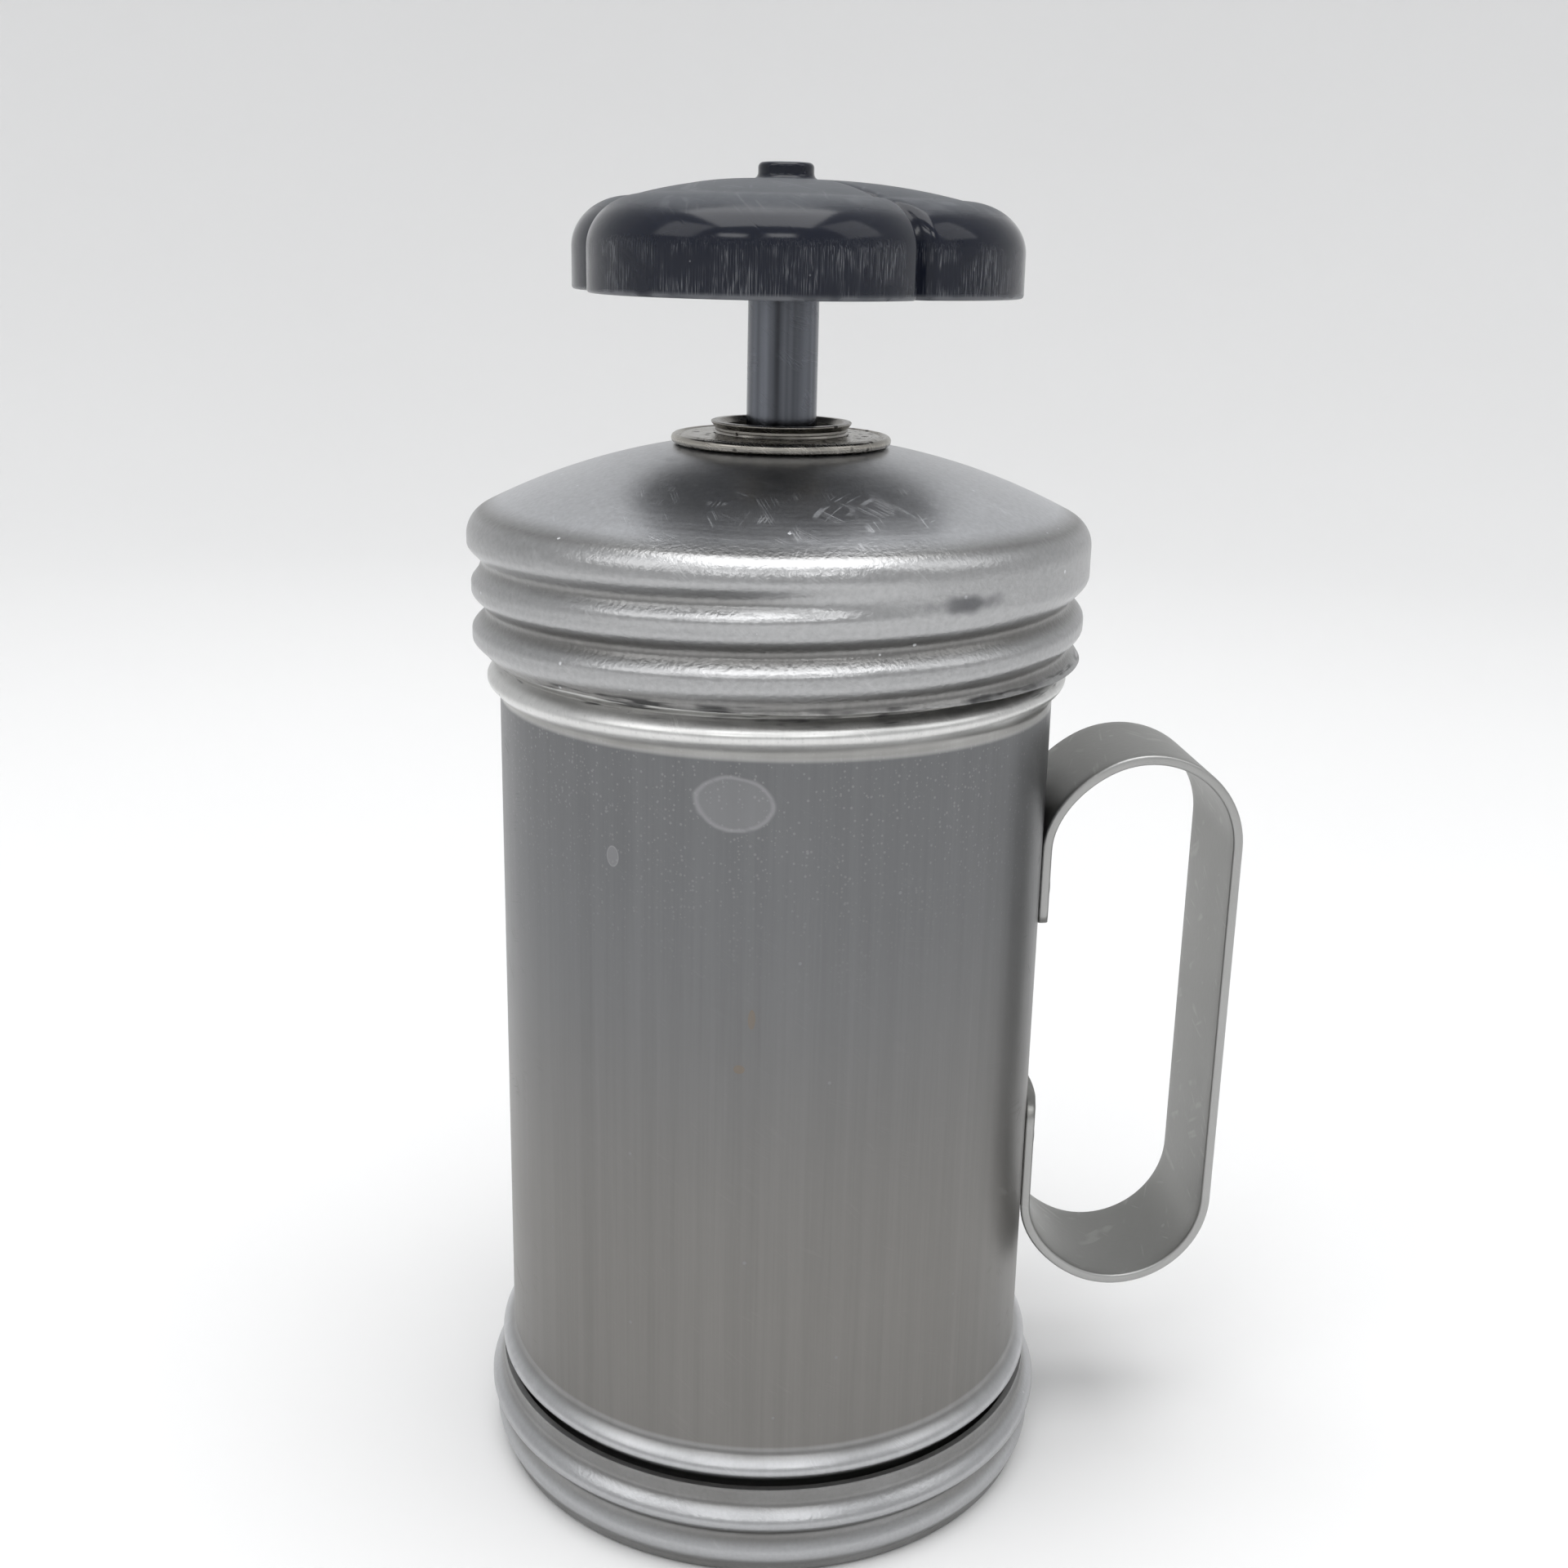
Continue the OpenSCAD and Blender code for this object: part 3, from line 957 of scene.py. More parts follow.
        # Dark patchy rubs between two levels: scuff marks and painted shade at the cap's edge.
        for low, high in self.rubs_and_joint_shade:
            rub = paint.effect("round_grain", Fineness=1500.0, Bend=5.0)
            patch = paint.effect("cloud", Scale=160.0, Seed=7.0)
            here = self._between(paint.z, low, high, RUB_AND_SHADE_FADE)
            here = here * rub.rise(0.46, 0.6) * patch.rise(0.4, 0.58)
            coat.colour = paint.blend(coat.colour, RUB_AND_JOINT_SHADE_TONE, here * 0.8)
            coat.roughness = coat.roughness + here * 0.2
        if self.pits:
            pit = paint.effect("specks", Fineness=900.0, Size=0.5, Amount=self.pits)
            coat.colour = paint.blend(coat.colour, PIT_TONE, pit * 0.85)
            coat.roughness = coat.roughness + pit * 0.3
            coat.height = coat.height - pit * 2.0
        for mark in self.marks:
            values = {"Centre": mark.centre, "Half_width": mark.half_width,
                      "Half_height": mark.half_height, "Wobble": mark.wobble,
                      "Softness": mark.soft}
            rim = paint.effect("ring_mark", "Rim", **values)
            inside = paint.effect("ring_mark", "Inside", **values)
            share = rim * mark.rim + inside * mark.inside * (cloud * mark.patchy + 0.75)
            coat.colour = paint.blend(coat.colour, mark.colour, share)
            coat.roughness = coat.roughness + share * 0.25


@dataclass(frozen=True)
class Strap:
    """Satin sheet metal whose long edges are coloured lighter."""

    name: str
    colour: Colour
    edge_colour: Colour
    half_width: float
    roughness: float = 0.40

    def material(self) -> bpy.types.Material:
        """Builds the finish as a material."""
        paint = Paint(self.name)
        peel = paint.effect("cloud", Scale=1500.0, Seed=1.0) - 0.5
        cloud = paint.effect("cloud", Scale=60.0, Seed=4.0) - 0.5
        scratch = paint.effect("scratches", Fineness=700.0, Amount=0.4)
        dust = paint.effect("specks", Fineness=480.0, Size=0.2, Amount=0.08)
        edge = paint.y.abs().rise(self.half_width - 0.34 * MM, self.half_width - 0.14 * MM)
        colour = paint.scaled(self.colour, cloud * 0.14 + peel * 0.1 + scratch * 0.2 + 1.0)
        colour = paint.blend(colour, self.edge_colour, edge * (cloud + 0.8) + dust * 0.4)
        roughness = cloud * 0.15 + peel * 0.1 + self.roughness
        height = peel * 0.8 - scratch * 0.4 + dust * 0.5
        return paint.finish(colour, roughness, height, RELIEF_DEPTH, Metallic=0.85)


@dataclass(frozen=True)
class Moulding:
    """Dark moulded plastic, dulled by wear and lit with a painted sheen on top, and stroked white
    round its skirt.
    """

    name: str
    low: float
    high: float
    colour: Colour = (0.006, 0.008, 0.016)
    top_wear_and_sheen: Colour = (0.085, 0.092, 0.103)
    stroke: Colour = (0.30, 0.31, 0.33)

    def material(self) -> bpy.types.Material:
        """Builds the finish as a material."""
        paint = Paint(self.name)
        tall = self.high - self.low
        cloud = paint.effect("cloud", Scale=90.0, Seed=3.0) - 0.5
        peel = paint.effect("cloud", Scale=1400.0, Seed=8.0) - 0.5
        scratch = paint.effect("scratches", Fineness=800.0, Amount=0.45)
        dust = paint.effect("specks", Fineness=600.0, Size=0.2, Amount=0.1)
        # Lighter where the surface faces up: wear and a painted sheen from the light above.
        top = (paint.facing_up() + cloud * 0.2).rise(0.68, 0.99)
        lines = (paint.effect("straight_grain", Fineness=4600.0, Stretch=40.0) - 0.5).abs()
        patch = paint.effect("cloud", Scale=210.0, Seed=6.0)
        skirt = paint.z.rise(self.low + tall * 0.46, self.low + tall * 0.30)
        skirt = skirt * paint.z.rise(self.low + 0.2 * MM, self.low + 0.9 * MM)
        strokes = lines.rise(0.035, 0.01) * patch.rise(0.40, 0.66) * skirt
        brim = paint.z.rise(self.low + 0.75 * MM, self.low + 0.15 * MM) * patch.rise(0.3, 0.6)
        # Paints the top lighter: wear with a painted sheen.
        colour = paint.blend(self.colour, self.top_wear_and_sheen, top * (peel * 0.5 + 0.8))
        colour = paint.blend(colour, self.stroke,
                             strokes * 0.4 + brim * 0.4 + scratch * top * 0.15 + dust * 0.25)
        roughness = top * 0.33 + strokes * 0.3 + brim * 0.25 + cloud * 0.06 + dust * 0.3 + 0.13
        height = peel * (top * 0.9 + 0.12) + strokes * 0.5 - scratch * 0.2 + dust * 0.6
        return paint.finish(colour, roughness, height, RELIEF_DEPTH, Metallic=0.0, IOR=1.38)


# ---------------------------------------------------------------- sub-assemblies


@dataclass
class Barrel:
    """The tube with its two beads and its rolled threads."""

    turning: TurningTree
    finish: bpy.types.Material
    bead_height: float = 1.45 * MM
    bead_half: float = 2.2 * MM
    low_bead: float = 11.1 * MM
    top_bead: float = 13.0 * MM
    wall: float = 0.9 * MM
    crest: float = 1.5 * MM
    root: float = 0.25 * MM
    thread_gap: float = 0.5 * MM
    thread_half: float = 2.7 * MM
    thread_middle: float = -0.21 * MM
    foot_thread: float = 0.38 * MM
    ridge_gap: float = 0.45 * MM
    ridge_half: float = 0.9 * MM
    ridge_height: float = 0.55 * MM

    def build(self) -> None:
        """Makes the barrel, measuring its levels from both ends of the CAD tube."""
        span = Span("barrel")
        tube = span.radius - self.bead_height
        low_bead = span.low + self.low_bead
        top_bead = span.high - self.top_bead
        thread_low = top_bead + self.bead_half + self.thread_gap
        ridge_at = top_bead + self.bead_half + self.ridge_gap
        levels = steps(span.low, low_bead - self.bead_half, 26)
        levels += steps(low_bead - self.bead_half, low_bead + self.bead_half, 20)[1:]
        levels += steps(low_bead + self.bead_half, top_bead - self.bead_half - MM, 10)[1:]
        levels += steps(top_bead - self.bead_half - MM, thread_low, 28)[1:]
        levels += steps(thread_low, span.high, 38)[1:]

        def radius(z: float) -> float:
            """The tube's outer radius at a level, without its threads."""
            beads = swell(z, low_bead, self.bead_half, self.bead_height)
            beads += swell(z, top_bead, self.bead_half, self.bead_height)
            ridge = swell(z, ridge_at, self.ridge_half, self.ridge_height)
            step = self.root if z > thread_low else 0.0
            return tube + beads + ridge + step

        Turned(
            "barrel_shell", "barrel", "barrel", ("barrel",),
            sheet([(radius(z), z) for z in levels], self.wall), self.finish,
            form=ThreadForm(half_width=self.thread_half),
            upper=Thread(self.crest, span.high + self.thread_middle, thread_low, span.high),
            lower=Thread(self.foot_thread, span.low, span.low + 0.3 * MM,
                         low_bead - self.bead_half),
            extra={"Tilt level": top_bead, "Tilt reach": 7 * MM, "Tilt rise": 0.5 * MM},
        ).build(self.turning)


@dataclass
class Handle:
    """The bent strap and the spot welds that hold its tabs."""

    finish: bpy.types.Material
    weld_finish: bpy.types.Material
    tube: float = 32.5 * MM
    thick: float = 1.2 * MM
    edge_round: float = 0.34 * MM
    tab_corner: float = 2.6 * MM
    upper_tab: float = 10.0 * MM
    lower_tab: float = 13.5 * MM
    weld_radius: float = 1.7 * MM
    weld_rise: float = 0.16 * MM
    weld_reach: float = 4.2 * MM
    uncurl_degrees: float = 62.0

    def __post_init__(self) -> None:
        """Reads the strap's outer sizes from the frame."""
        low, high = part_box("handle_strap")
        self.half = high.y
        self.bend = (high.x - self.tube) / 2
        self.middle = self.tube + self.bend
        self.bottom = low.z + self.bend
        self.top = high.z - self.bend

    def _path(self) -> list[tuple[Vector, Vector, float, float]]:
        """Stations along the outer face.

        Returns:
            For each station its place, the outward direction across the thickness, how far
            it is curved to the tube from 0 to 1, and its distance from the nearer end.
        """
        stations: list[tuple[Vector, Vector, float]] = []
        for z in steps(self.top - self.upper_tab, self.top, 16):
            stations.append((Vector((self.tube, 0, z)), Vector((1, 0, 0)), 1.0))
        for a in steps(180, 0, 44)[1:]:
            out = Vector((math.cos(math.radians(a)), 0, math.sin(math.radians(a))))
            place = Vector((self.middle, 0, self.top)) + out * self.bend
            stations.append((place, -out, self._curved(180 - a)))
        for z in steps(self.top, self.bottom, 12)[1:]:
            stations.append((Vector((self.middle + self.bend, 0, z)), Vector((-1, 0, 0)), 0.0))
        for a in steps(0, -180, 44)[1:]:
            out = Vector((math.cos(math.radians(a)), 0, math.sin(math.radians(a))))
            place = Vector((self.middle, 0, self.bottom)) + out * self.bend
            stations.append((place, -out, self._curved(180 + a)))
        for z in steps(self.bottom, self.bottom + self.lower_tab, 20)[1:]:
            stations.append((Vector((self.tube, 0, z)), Vector((1, 0, 0)), 1.0))
        lengths = [0.0]
        for before, after in zip(stations, stations[1:]):
            lengths.append(lengths[-1] + (after[0] - before[0]).length)
        return [(*station, min(run, lengths[-1] - run))
                for station, run in zip(stations, lengths)]

    def _curved(self, degrees: float) -> float:
        """How far the strap still follows the tube, some degrees after it has left it."""
        share = min(1.0, degrees / self.uncurl_degrees)
        return 1 - share * share * (3 - 2 * share)

    def _section(self, half: float) -> list[Point2]:
        """The strap's cross-section as distances across and through it, edges rounded."""
        r, t = min(self.edge_round, half * 0.5), self.thick
        flat = steps(-(half - r), half - r, 10)
        points = [(y, 0.0) for y in flat]
        points += arc((half - r, r), (r, r), -90, 0, 4)[1:]
        points += arc((half - r, t - r), (r, r), 0, 90, 4)
        points += [(y, t) for y in reversed(flat)][1:]
        points += arc((-(half - r), t - r), (r, r), 90, 180, 4)[1:]
        points += arc((-(half - r), r), (r, r), 180, 270, 4)[:-1]
        return points

    def build(self) -> None:
        """Makes the strap and its welds."""
        rings = []
        for place, inward, curved, run in self._path():
            corner = max(0.0, self.tab_corner - run)
            narrow = self.tab_corner - math.sqrt(self.tab_corner ** 2 - corner ** 2)
            ring = []
            for y, depth in self._section(self.half - narrow):
                sag = self.tube - math.sqrt(self.tube ** 2 - y * y)
                ring.append(place + inward * depth + Vector((-sag * curved, y, 0)))
            rings.append(ring)
        strap = add_object("handle_loop", stacked("handle_loop", rings))
        strap.data.materials.append(self.finish)
        hand_over(strap, "barrel", "strap", "handle_strap")
        tree = self._weld_tree()
        for name, level in (("upper_welds", self.top - self.upper_tab * 0.55),
                            ("lower_welds", self.bottom + self.lower_tab * 0.6)):
            reach = self.weld_reach
            face = math.sqrt((self.tube + self.thick) ** 2 - reach ** 2)
            mesh = bpy.data.meshes.new(name)
            mesh.from_pydata([(face, -reach, level), (face, reach, level)], [], [])
            welds = run_tree(add_object(name, mesh), tree, {
                "Radius": self.weld_radius, "Rise": self.weld_rise, "Finish": self.weld_finish})
            hand_over(welds, "barrel", "strap")

    @staticmethod
    def _weld_tree() -> bpy.types.NodeTree:
        """Geometry Nodes that set a shallow weld button on each point."""
        tree = new_tree("GeometryNodeTree", "weld_buttons", {
            "Points": ("NodeSocketGeometry", None), "Radius": (FLOAT, 1.7 * MM),
            "Rise": (FLOAT, 0.2 * MM), "Finish": ("NodeSocketMaterial", None)},
            {"Buttons": "NodeSocketGeometry"})
        read, sink = ends(tree)
        ball = add_node(tree, "GeometryNodeMeshUVSphere", Segments=28, Rings=10, Radius=1.0)
        size = add_node(tree, "ShaderNodeCombineXYZ", X=read("Rise"), Y=read("Radius"),
                        Z=read("Radius"))
        place = add_node(tree, "GeometryNodeInputPosition")
        split = add_node(tree, "ShaderNodeSeparateXYZ", Vector=place.outputs[0])
        turn = Field(tree, split.outputs[1]).calc("ARCTAN2", Field(tree, split.outputs[0]))
        spin = add_node(tree, "ShaderNodeCombineXYZ", Z=turn)
        setter = add_node(tree, "GeometryNodeInstanceOnPoints", Points=read("Points"),
                          Instance=ball.outputs["Mesh"], Rotation=spin.outputs[0],
                          Scale=size.outputs[0])
        realize = add_node(tree, "GeometryNodeRealizeInstances", Geometry=setter.outputs[0])
        dress = add_node(tree, "GeometryNodeSetMaterial", Geometry=realize.outputs[0],
                         Material=read("Finish"))
        plug(tree, sink.inputs[0], dress.outputs[0])
        return tree


@dataclass
class Cap:
    """The screw cap, its rolled-edge flange, and the nut whose neck shows as a collar."""

    turning: TurningTree
    shell_finish: bpy.types.Material
    flange_finish: bpy.types.Material
    nut_finish: bpy.types.Material
    wall: float = 0.9 * MM
    dome_radius: float = 75.0 * MM
    shoulder: float = 3.2 * MM
    skirt_tall: float = 13.2 * MM
    rim_step: float = 0.4 * MM
    groove: float = 1.5 * MM
    pitch: float = 5.4 * MM
    run_out_turn: float = 0.822
    rim_tall: float = 3.2 * MM
    rim_blend: float = 1.5 * MM
    thread_rise: float = 7.39 * MM
    edge_wobble: float = 0.7 * MM
    hole_radius: float = 7.7 * MM
    neck: float = 7.6 * MM
    lip: float = 8.05 * MM
    bore: float = 4.05 * MM
    counterbore: float = 6.6 * MM
    hex_low_depth: float = 7.83 * MM
    hex_outer: float = 10.0 * MM
    hex_tall: float = 3.0 * MM
    hex_chamfer: float = 0.5 * MM

    def build(self) -> None:
        """Makes the shell, the flange and the nut."""
        self._shell()
        self._flange()
        self._nut()

    def _shell(self) -> None:
        """The cap's sheet: skirt, rounded shoulder and dome, with its thread rolled in."""
        span = Span("cap_shell")
        shoulder_z = span.low + self.skirt_tall
        ring = span.radius - self.shoulder
        slope = math.degrees(math.asin(ring / (self.dome_radius - self.shoulder)))
        drop = math.sqrt((self.dome_radius - self.shoulder) ** 2 - ring ** 2)
        centre_z = shoulder_z - drop
        rim_low = shoulder_z - self.rim_tall
        levels = steps(span.low, shoulder_z, 48)

        def radius(z: float) -> float:
            """The skirt's outer radius, which steps out smoothly to the rim band."""
            share = min(1.0, max(0.0, (z - rim_low + self.rim_blend) / self.rim_blend))
            return span.radius - self.rim_step * (1 - share * share * (3 - 2 * share))

        outer = [(radius(z), z) for z in levels]
        shoulder = arc((ring, shoulder_z), (self.shoulder, self.shoulder), 0, 90 - slope, 12)[1:]
        hole_angle = 90 - math.degrees(math.asin(self.hole_radius / self.dome_radius))
        dome = arc((0, centre_z), (self.dome_radius, self.dome_radius), 90 - slope, hole_angle,
                   24)[1:]
        inner_dome = arc((0, centre_z), (self.dome_radius - self.wall,) * 2, hole_angle,
                         90 - slope, 24)
        inner_shoulder = arc((ring, shoulder_z), (self.shoulder - self.wall,) * 2,
                             90 - slope, 0, 12)[1:-1]
        inner = [(r - self.wall, z) for r, z in reversed(outer)]
        Turned(
            "cap_dome", "cap", "cap", ("cap_shell",),
            outer + shoulder + dome + inner_dome + inner_shoulder + inner, self.shell_finish,
            form=ThreadForm(self.pitch, 2.25 * MM, 1.0, self.run_out_turn, 0.12),
            upper=Thread(-self.groove, span.low + self.thread_rise, 0.0, shoulder_z + 1.0 * MM),
            extra={"Edge level": span.low, "Edge wobble": self.edge_wobble, "Seed": 4.0,
                   "Least radius": ring},
        ).build(self.turning)

    def _flange(self) -> None:
        """The thin flange with its rolled rim."""
        span = Span("cap_flange")
        rim = 0.55 * MM
        ring = span.radius - rim
        web_low = span.high - 0.6 * MM
        bore = self.hole_radius
        line = [(bore, web_low), (bore, span.high - 0.1 * MM), (bore + 0.1 * MM, span.high)]
        line += [(r, span.high - 0.15 * MM * (r - bore) / (ring - bore))
                 for r in steps(bore + 0.4 * MM, ring - rim * 1.6, 8)]
        line += arc((ring, span.low + rim), (rim, rim), 150, -90, 20)
        line += arc((ring, span.low + rim), (rim * 0.6, rim), -90, -180, 6)[1:]
        line += [(ring - rim * 1.4, web_low)]
        Turned("cap_flange_ring", "flange", "nickel", ("cap_flange",), line,
               self.flange_finish, segments=144).build(self.turning)

    def _nut(self) -> None:
        """The nut: a turned neck with fine rings and a flared lip, and a hexagon below."""
        span = Span("spindle_nut")
        neck, lip, bore, counterbore = self.neck, self.lip, self.bore, self.counterbore
        seat = span.low + 6.0 * MM
        visible = span.high - 3.0 * MM
        line = [(bore, span.low), (neck - 0.3 * MM, span.low), (neck, span.low + 0.3 * MM)]
        line += [(neck, visible)]
        for z in steps(visible, span.high - 0.9 * MM, 6)[:-1]:
            line += [(neck - 0.12 * MM, z + 0.12 * MM), (neck, z + 0.24 * MM)]
        line += [(neck, span.high - 0.75 * MM), (lip - 0.08 * MM, span.high - 0.28 * MM)]
        line += arc((lip - 0.16 * MM, span.high - 0.14 * MM), (0.16 * MM, 0.14 * MM), -30, 90, 5)
        line += [(counterbore + 0.6 * MM, span.high), (counterbore, span.high - 0.6 * MM)]
        line += [(counterbore, seat), (bore + 0.4 * MM, seat), (bore, seat - 0.4 * MM)]
        Turned("nut_neck", "cap", "dark_nickel", ("spindle_nut",), line, self.nut_finish,
               segments=112).build(self.turning)
        low = span.high - self.hex_low_depth
        outer, tall, chamfer = self.hex_outer, self.hex_tall, self.hex_chamfer

        def ring(shrink: float, z: float) -> list[Vector]:
            """One six-sided ring of points."""
            points = []
            for i in range(96):
                a = FULL_TURN * i / 96
                side = (a % (math.pi / 3)) - math.pi / 6
                r = (outer - shrink) * math.cos(math.pi / 6) / math.cos(side)
                points.append(Vector((r * math.cos(a), r * math.sin(a), z)))
            return points

        def circle(r: float, z: float) -> list[Vector]:
            """One round ring of points."""
            return [Vector((r * math.cos(FULL_TURN * i / 96), r * math.sin(FULL_TURN * i / 96), z))
                    for i in range(96)]

        inside = neck - 0.2 * MM
        rings = [circle(inside, low), ring(chamfer, low), ring(0.0, low + chamfer),
                 ring(0.0, low + tall - chamfer), ring(chamfer, low + tall),
                 circle(inside, low + tall)]
        hexagon = add_object("nut_hexagon", stacked("nut_hexagon", rings, looped=True))
        hexagon.data.materials.append(self.nut_finish)
        hand_over(hexagon, "cap", "dark_nickel", "spindle_nut")


@dataclass
class Screw:
    """The threaded spindle."""

    turning: TurningTree
    finish: bpy.types.Material
    radius: float = 4.0 * MM
    journal: float = 2.8 * MM
    clip_seat: float = 2.3 * MM
    pitch: float = 4.0 * MM
    depth: float = 0.7 * MM
    plain_top: float = 25.0 * MM

    def build(self) -> None:
        """Makes the spindle with its journal, clip groove and thread."""
        span = Span("spindle")
        clip = Span("piston_clip")
        washer = Span("piston_washer")
        shoulder = washer.high + 0.1 * MM
        chamfer = 0.4 * MM
        line = [(0.0, span.low), (self.journal - chamfer, span.low),
                (self.journal, span.low + chamfer)]
        line += [(self.journal, clip.low), (self.clip_seat, clip.low),
                 (self.clip_seat, clip.high), (self.journal, clip.high)]
        line += [(self.journal, shoulder), (self.radius - chamfer, shoulder),
                 (self.radius, shoulder + chamfer)]
        thread_high = span.high - self.plain_top
        line += [(self.radius, z) for z in steps(shoulder + 0.8 * MM, thread_high, 440)]
        line += [(self.radius, span.high - chamfer), (self.radius - chamfer, span.high),
                 (0.0, span.high)]
        Turned(
            "spindle_screw", "spindle", "spindle", ("spindle",), line, self.finish,
            closed=False, segments=56,
            form=ThreadForm(self.pitch, 1.45 * MM, 1.9),
            upper=Thread(-self.depth, 0.0, shoulder + MM, thread_high, 1.5 * MM),
            extra={"Least radius": self.journal + 0.3 * MM},
        ).build(self.turning)


@dataclass
class Knob:
    """The three-lobed moulded knob with its hollow underside and round boss."""

    finish: bpy.types.Material
    reach: float = 27.2 * MM
    lobe: float = 18.6 * MM
    turn: float = math.radians(7)
    wall: float = 2.2 * MM
    edge_tall: float = 10.3 * MM
    crown: float = 2.0 * MM
    edge_width: float = 7.0 * MM
    edge_height: float = 5.6 * MM
    hub: float = 8.5 * MM
    pocket: float = 5.5 * MM
    boss: float = 3.1 * MM
    flute_depth: float = 1.5 * MM
    flute_half: float = 1.5 * MM
    segments: int = 360

    def _plan(self, angle: float) -> float:
        """Distance from the axis to the lobed outline in one direction."""
        offset = self.reach - self.lobe
        near = sorted((self._lobe(angle - self.turn - k * FULL_TURN / 3, offset)
                       for k in range(3)), reverse=True)
        valley = (angle - self.turn) % (FULL_TURN / 3) - FULL_TURN / 6
        flute = swell(valley * near[0], 0.0, self.flute_half, self.flute_depth)
        return self._soft_max(near[0], near[1], 0.5 * MM) - flute

    def _lobe(self, away: float, offset: float) -> float:
        """Distance to one lobe's circle, or nothing where it isn't met."""
        under = self.lobe ** 2 - (offset * math.sin(away)) ** 2
        return offset * math.cos(away) + math.sqrt(under)

    @staticmethod
    def _soft_max(a: float, b: float, width: float) -> float:
        """The larger of two lengths, with a fillet where they meet."""
        blend = max(0.0, width - abs(a - b)) / width
        return max(a, b) + width * blend * blend / 4

    def _ring(self, z: float, place: Callable[[float], float]) -> list[Vector]:
        """Points round the axis at one level.

        Args:
            z: The level.
            place: Gives the radius for a direction's distance to the lobed outline.

        Returns:
            The ring of points.
        """
        points = []
        for i in range(self.segments):
            angle = FULL_TURN * i / self.segments
            r = place(self._plan(angle))
            points.append(Vector((r * math.cos(angle), r * math.sin(angle), z)))
        return points

    def build(self) -> None:
        """Makes the knob, from the boss down over the lobes and up into the pocket."""
        span = Span("knob")
        bush = Span("knob_bush")
        top = span.low + self.edge_tall
        crown_z = top + self.crown
        fillet, flare = 0.55 * MM, 0.7 * MM
        foot_r = self.boss + flare
        foot_z = crown_z - 0.1 * MM
        boss = [(0.4 * MM, span.high), (1.4 * MM, span.high)]
        boss += arc((self.boss - fillet, span.high - fillet), (fillet, fillet), 90, 0, 6)
        boss += arc((foot_r, foot_z + flare), (flare, flare), 180, 270, 6)
        rings = [self._ring(z, lambda plan, r=r: r) for r, z in boss]
        for t in steps(0.0, 1.0, 16)[1:]:
            z = foot_z - (foot_z - top) * t * t
            rings.append(self._ring(z, lambda plan, t=t: foot_r + t * (
                plan - self.edge_width - foot_r)))
        for inset, z in arc((self.edge_width, top - self.edge_height),
                            (-self.edge_width, self.edge_height), 84, 0, 18):
            rings.append(self._ring(z, lambda plan, inset=inset: plan - inset))
        brim = 0.4 * MM
        ceiling = span.low + self.pocket
        skirt = [(0.0, z) for z in steps(top - self.edge_height, span.low + brim, 6)[1:]]
        skirt += arc((brim, span.low + brim), (-brim, brim), 0, -90, 4)[1:]
        skirt += arc((self.wall - brim, span.low + brim), (brim, brim), -90, 0, 4)
        skirt += [(self.wall, ceiling - MM), (self.wall + 0.3 * MM, ceiling - 0.3 * MM),
                  (self.wall + MM, ceiling)]
        rings += [self._ring(z, lambda plan, inset=inset: plan - inset) for inset, z in skirt]
        hub = [(self.hub + 0.6 * MM, ceiling), (self.hub, ceiling - 0.6 * MM),
               (self.hub, span.low + 0.5 * MM), (self.hub - 0.3 * MM, span.low + 0.2 * MM),
               (bush.radius, span.low + 0.2 * MM), (bush.radius, bush.high),
               (0.5 * MM, bush.high)]
        rings += [self._ring(z, lambda plan, r=r: r) for r, z in hub]
        knob = add_object("knob_moulding", stacked("knob_moulding", rings))
        knob.data.materials.append(self.finish)
        hand_over(knob, "spindle", "knob", "knob")


@dataclass
class Piston:
    """The turned piston plate with its rolled-up rim."""

    turning: TurningTree
    finish: bpy.types.Material
    plate: float = 1.2 * MM
    wall: float = 1.0 * MM
    corner: float = 1.6 * MM
    bore: float = 2.85 * MM
    foot: float = 0.6 * MM
    grooves: tuple[float, ...] = (24 * MM, 16 * MM)
    groove_depth: float = 0.35 * MM

    def build(self) -> None:
        """Makes the piston."""
        span = Span("piston")
        r, low, high = span.radius, span.low, span.high
        line = [(self.bore, low)]
        line += arc((r - self.corner, low + self.corner), (self.corner,) * 2, -90, 0, 10)
        line += arc((r - self.wall / 2, high - self.wall / 2), (self.wall / 2,) * 2, 0, 180, 10)
        inner = r - self.wall
        line += arc((inner - self.foot, low + self.plate + self.foot), (self.foot,) * 2,
                    0, -90, 6)
        for groove in self.grooves:
            line += [(groove + w * 0.5 * MM,
                      low + self.plate + swell(w, 0, 3, self.groove_depth))
                     for w in range(3, -4, -1)]
        line += [(self.bore, low + self.plate)]
        Turned("piston_plate", "piston", "piston", ("piston",), line, self.finish,
               segments=160).build(self.turning)


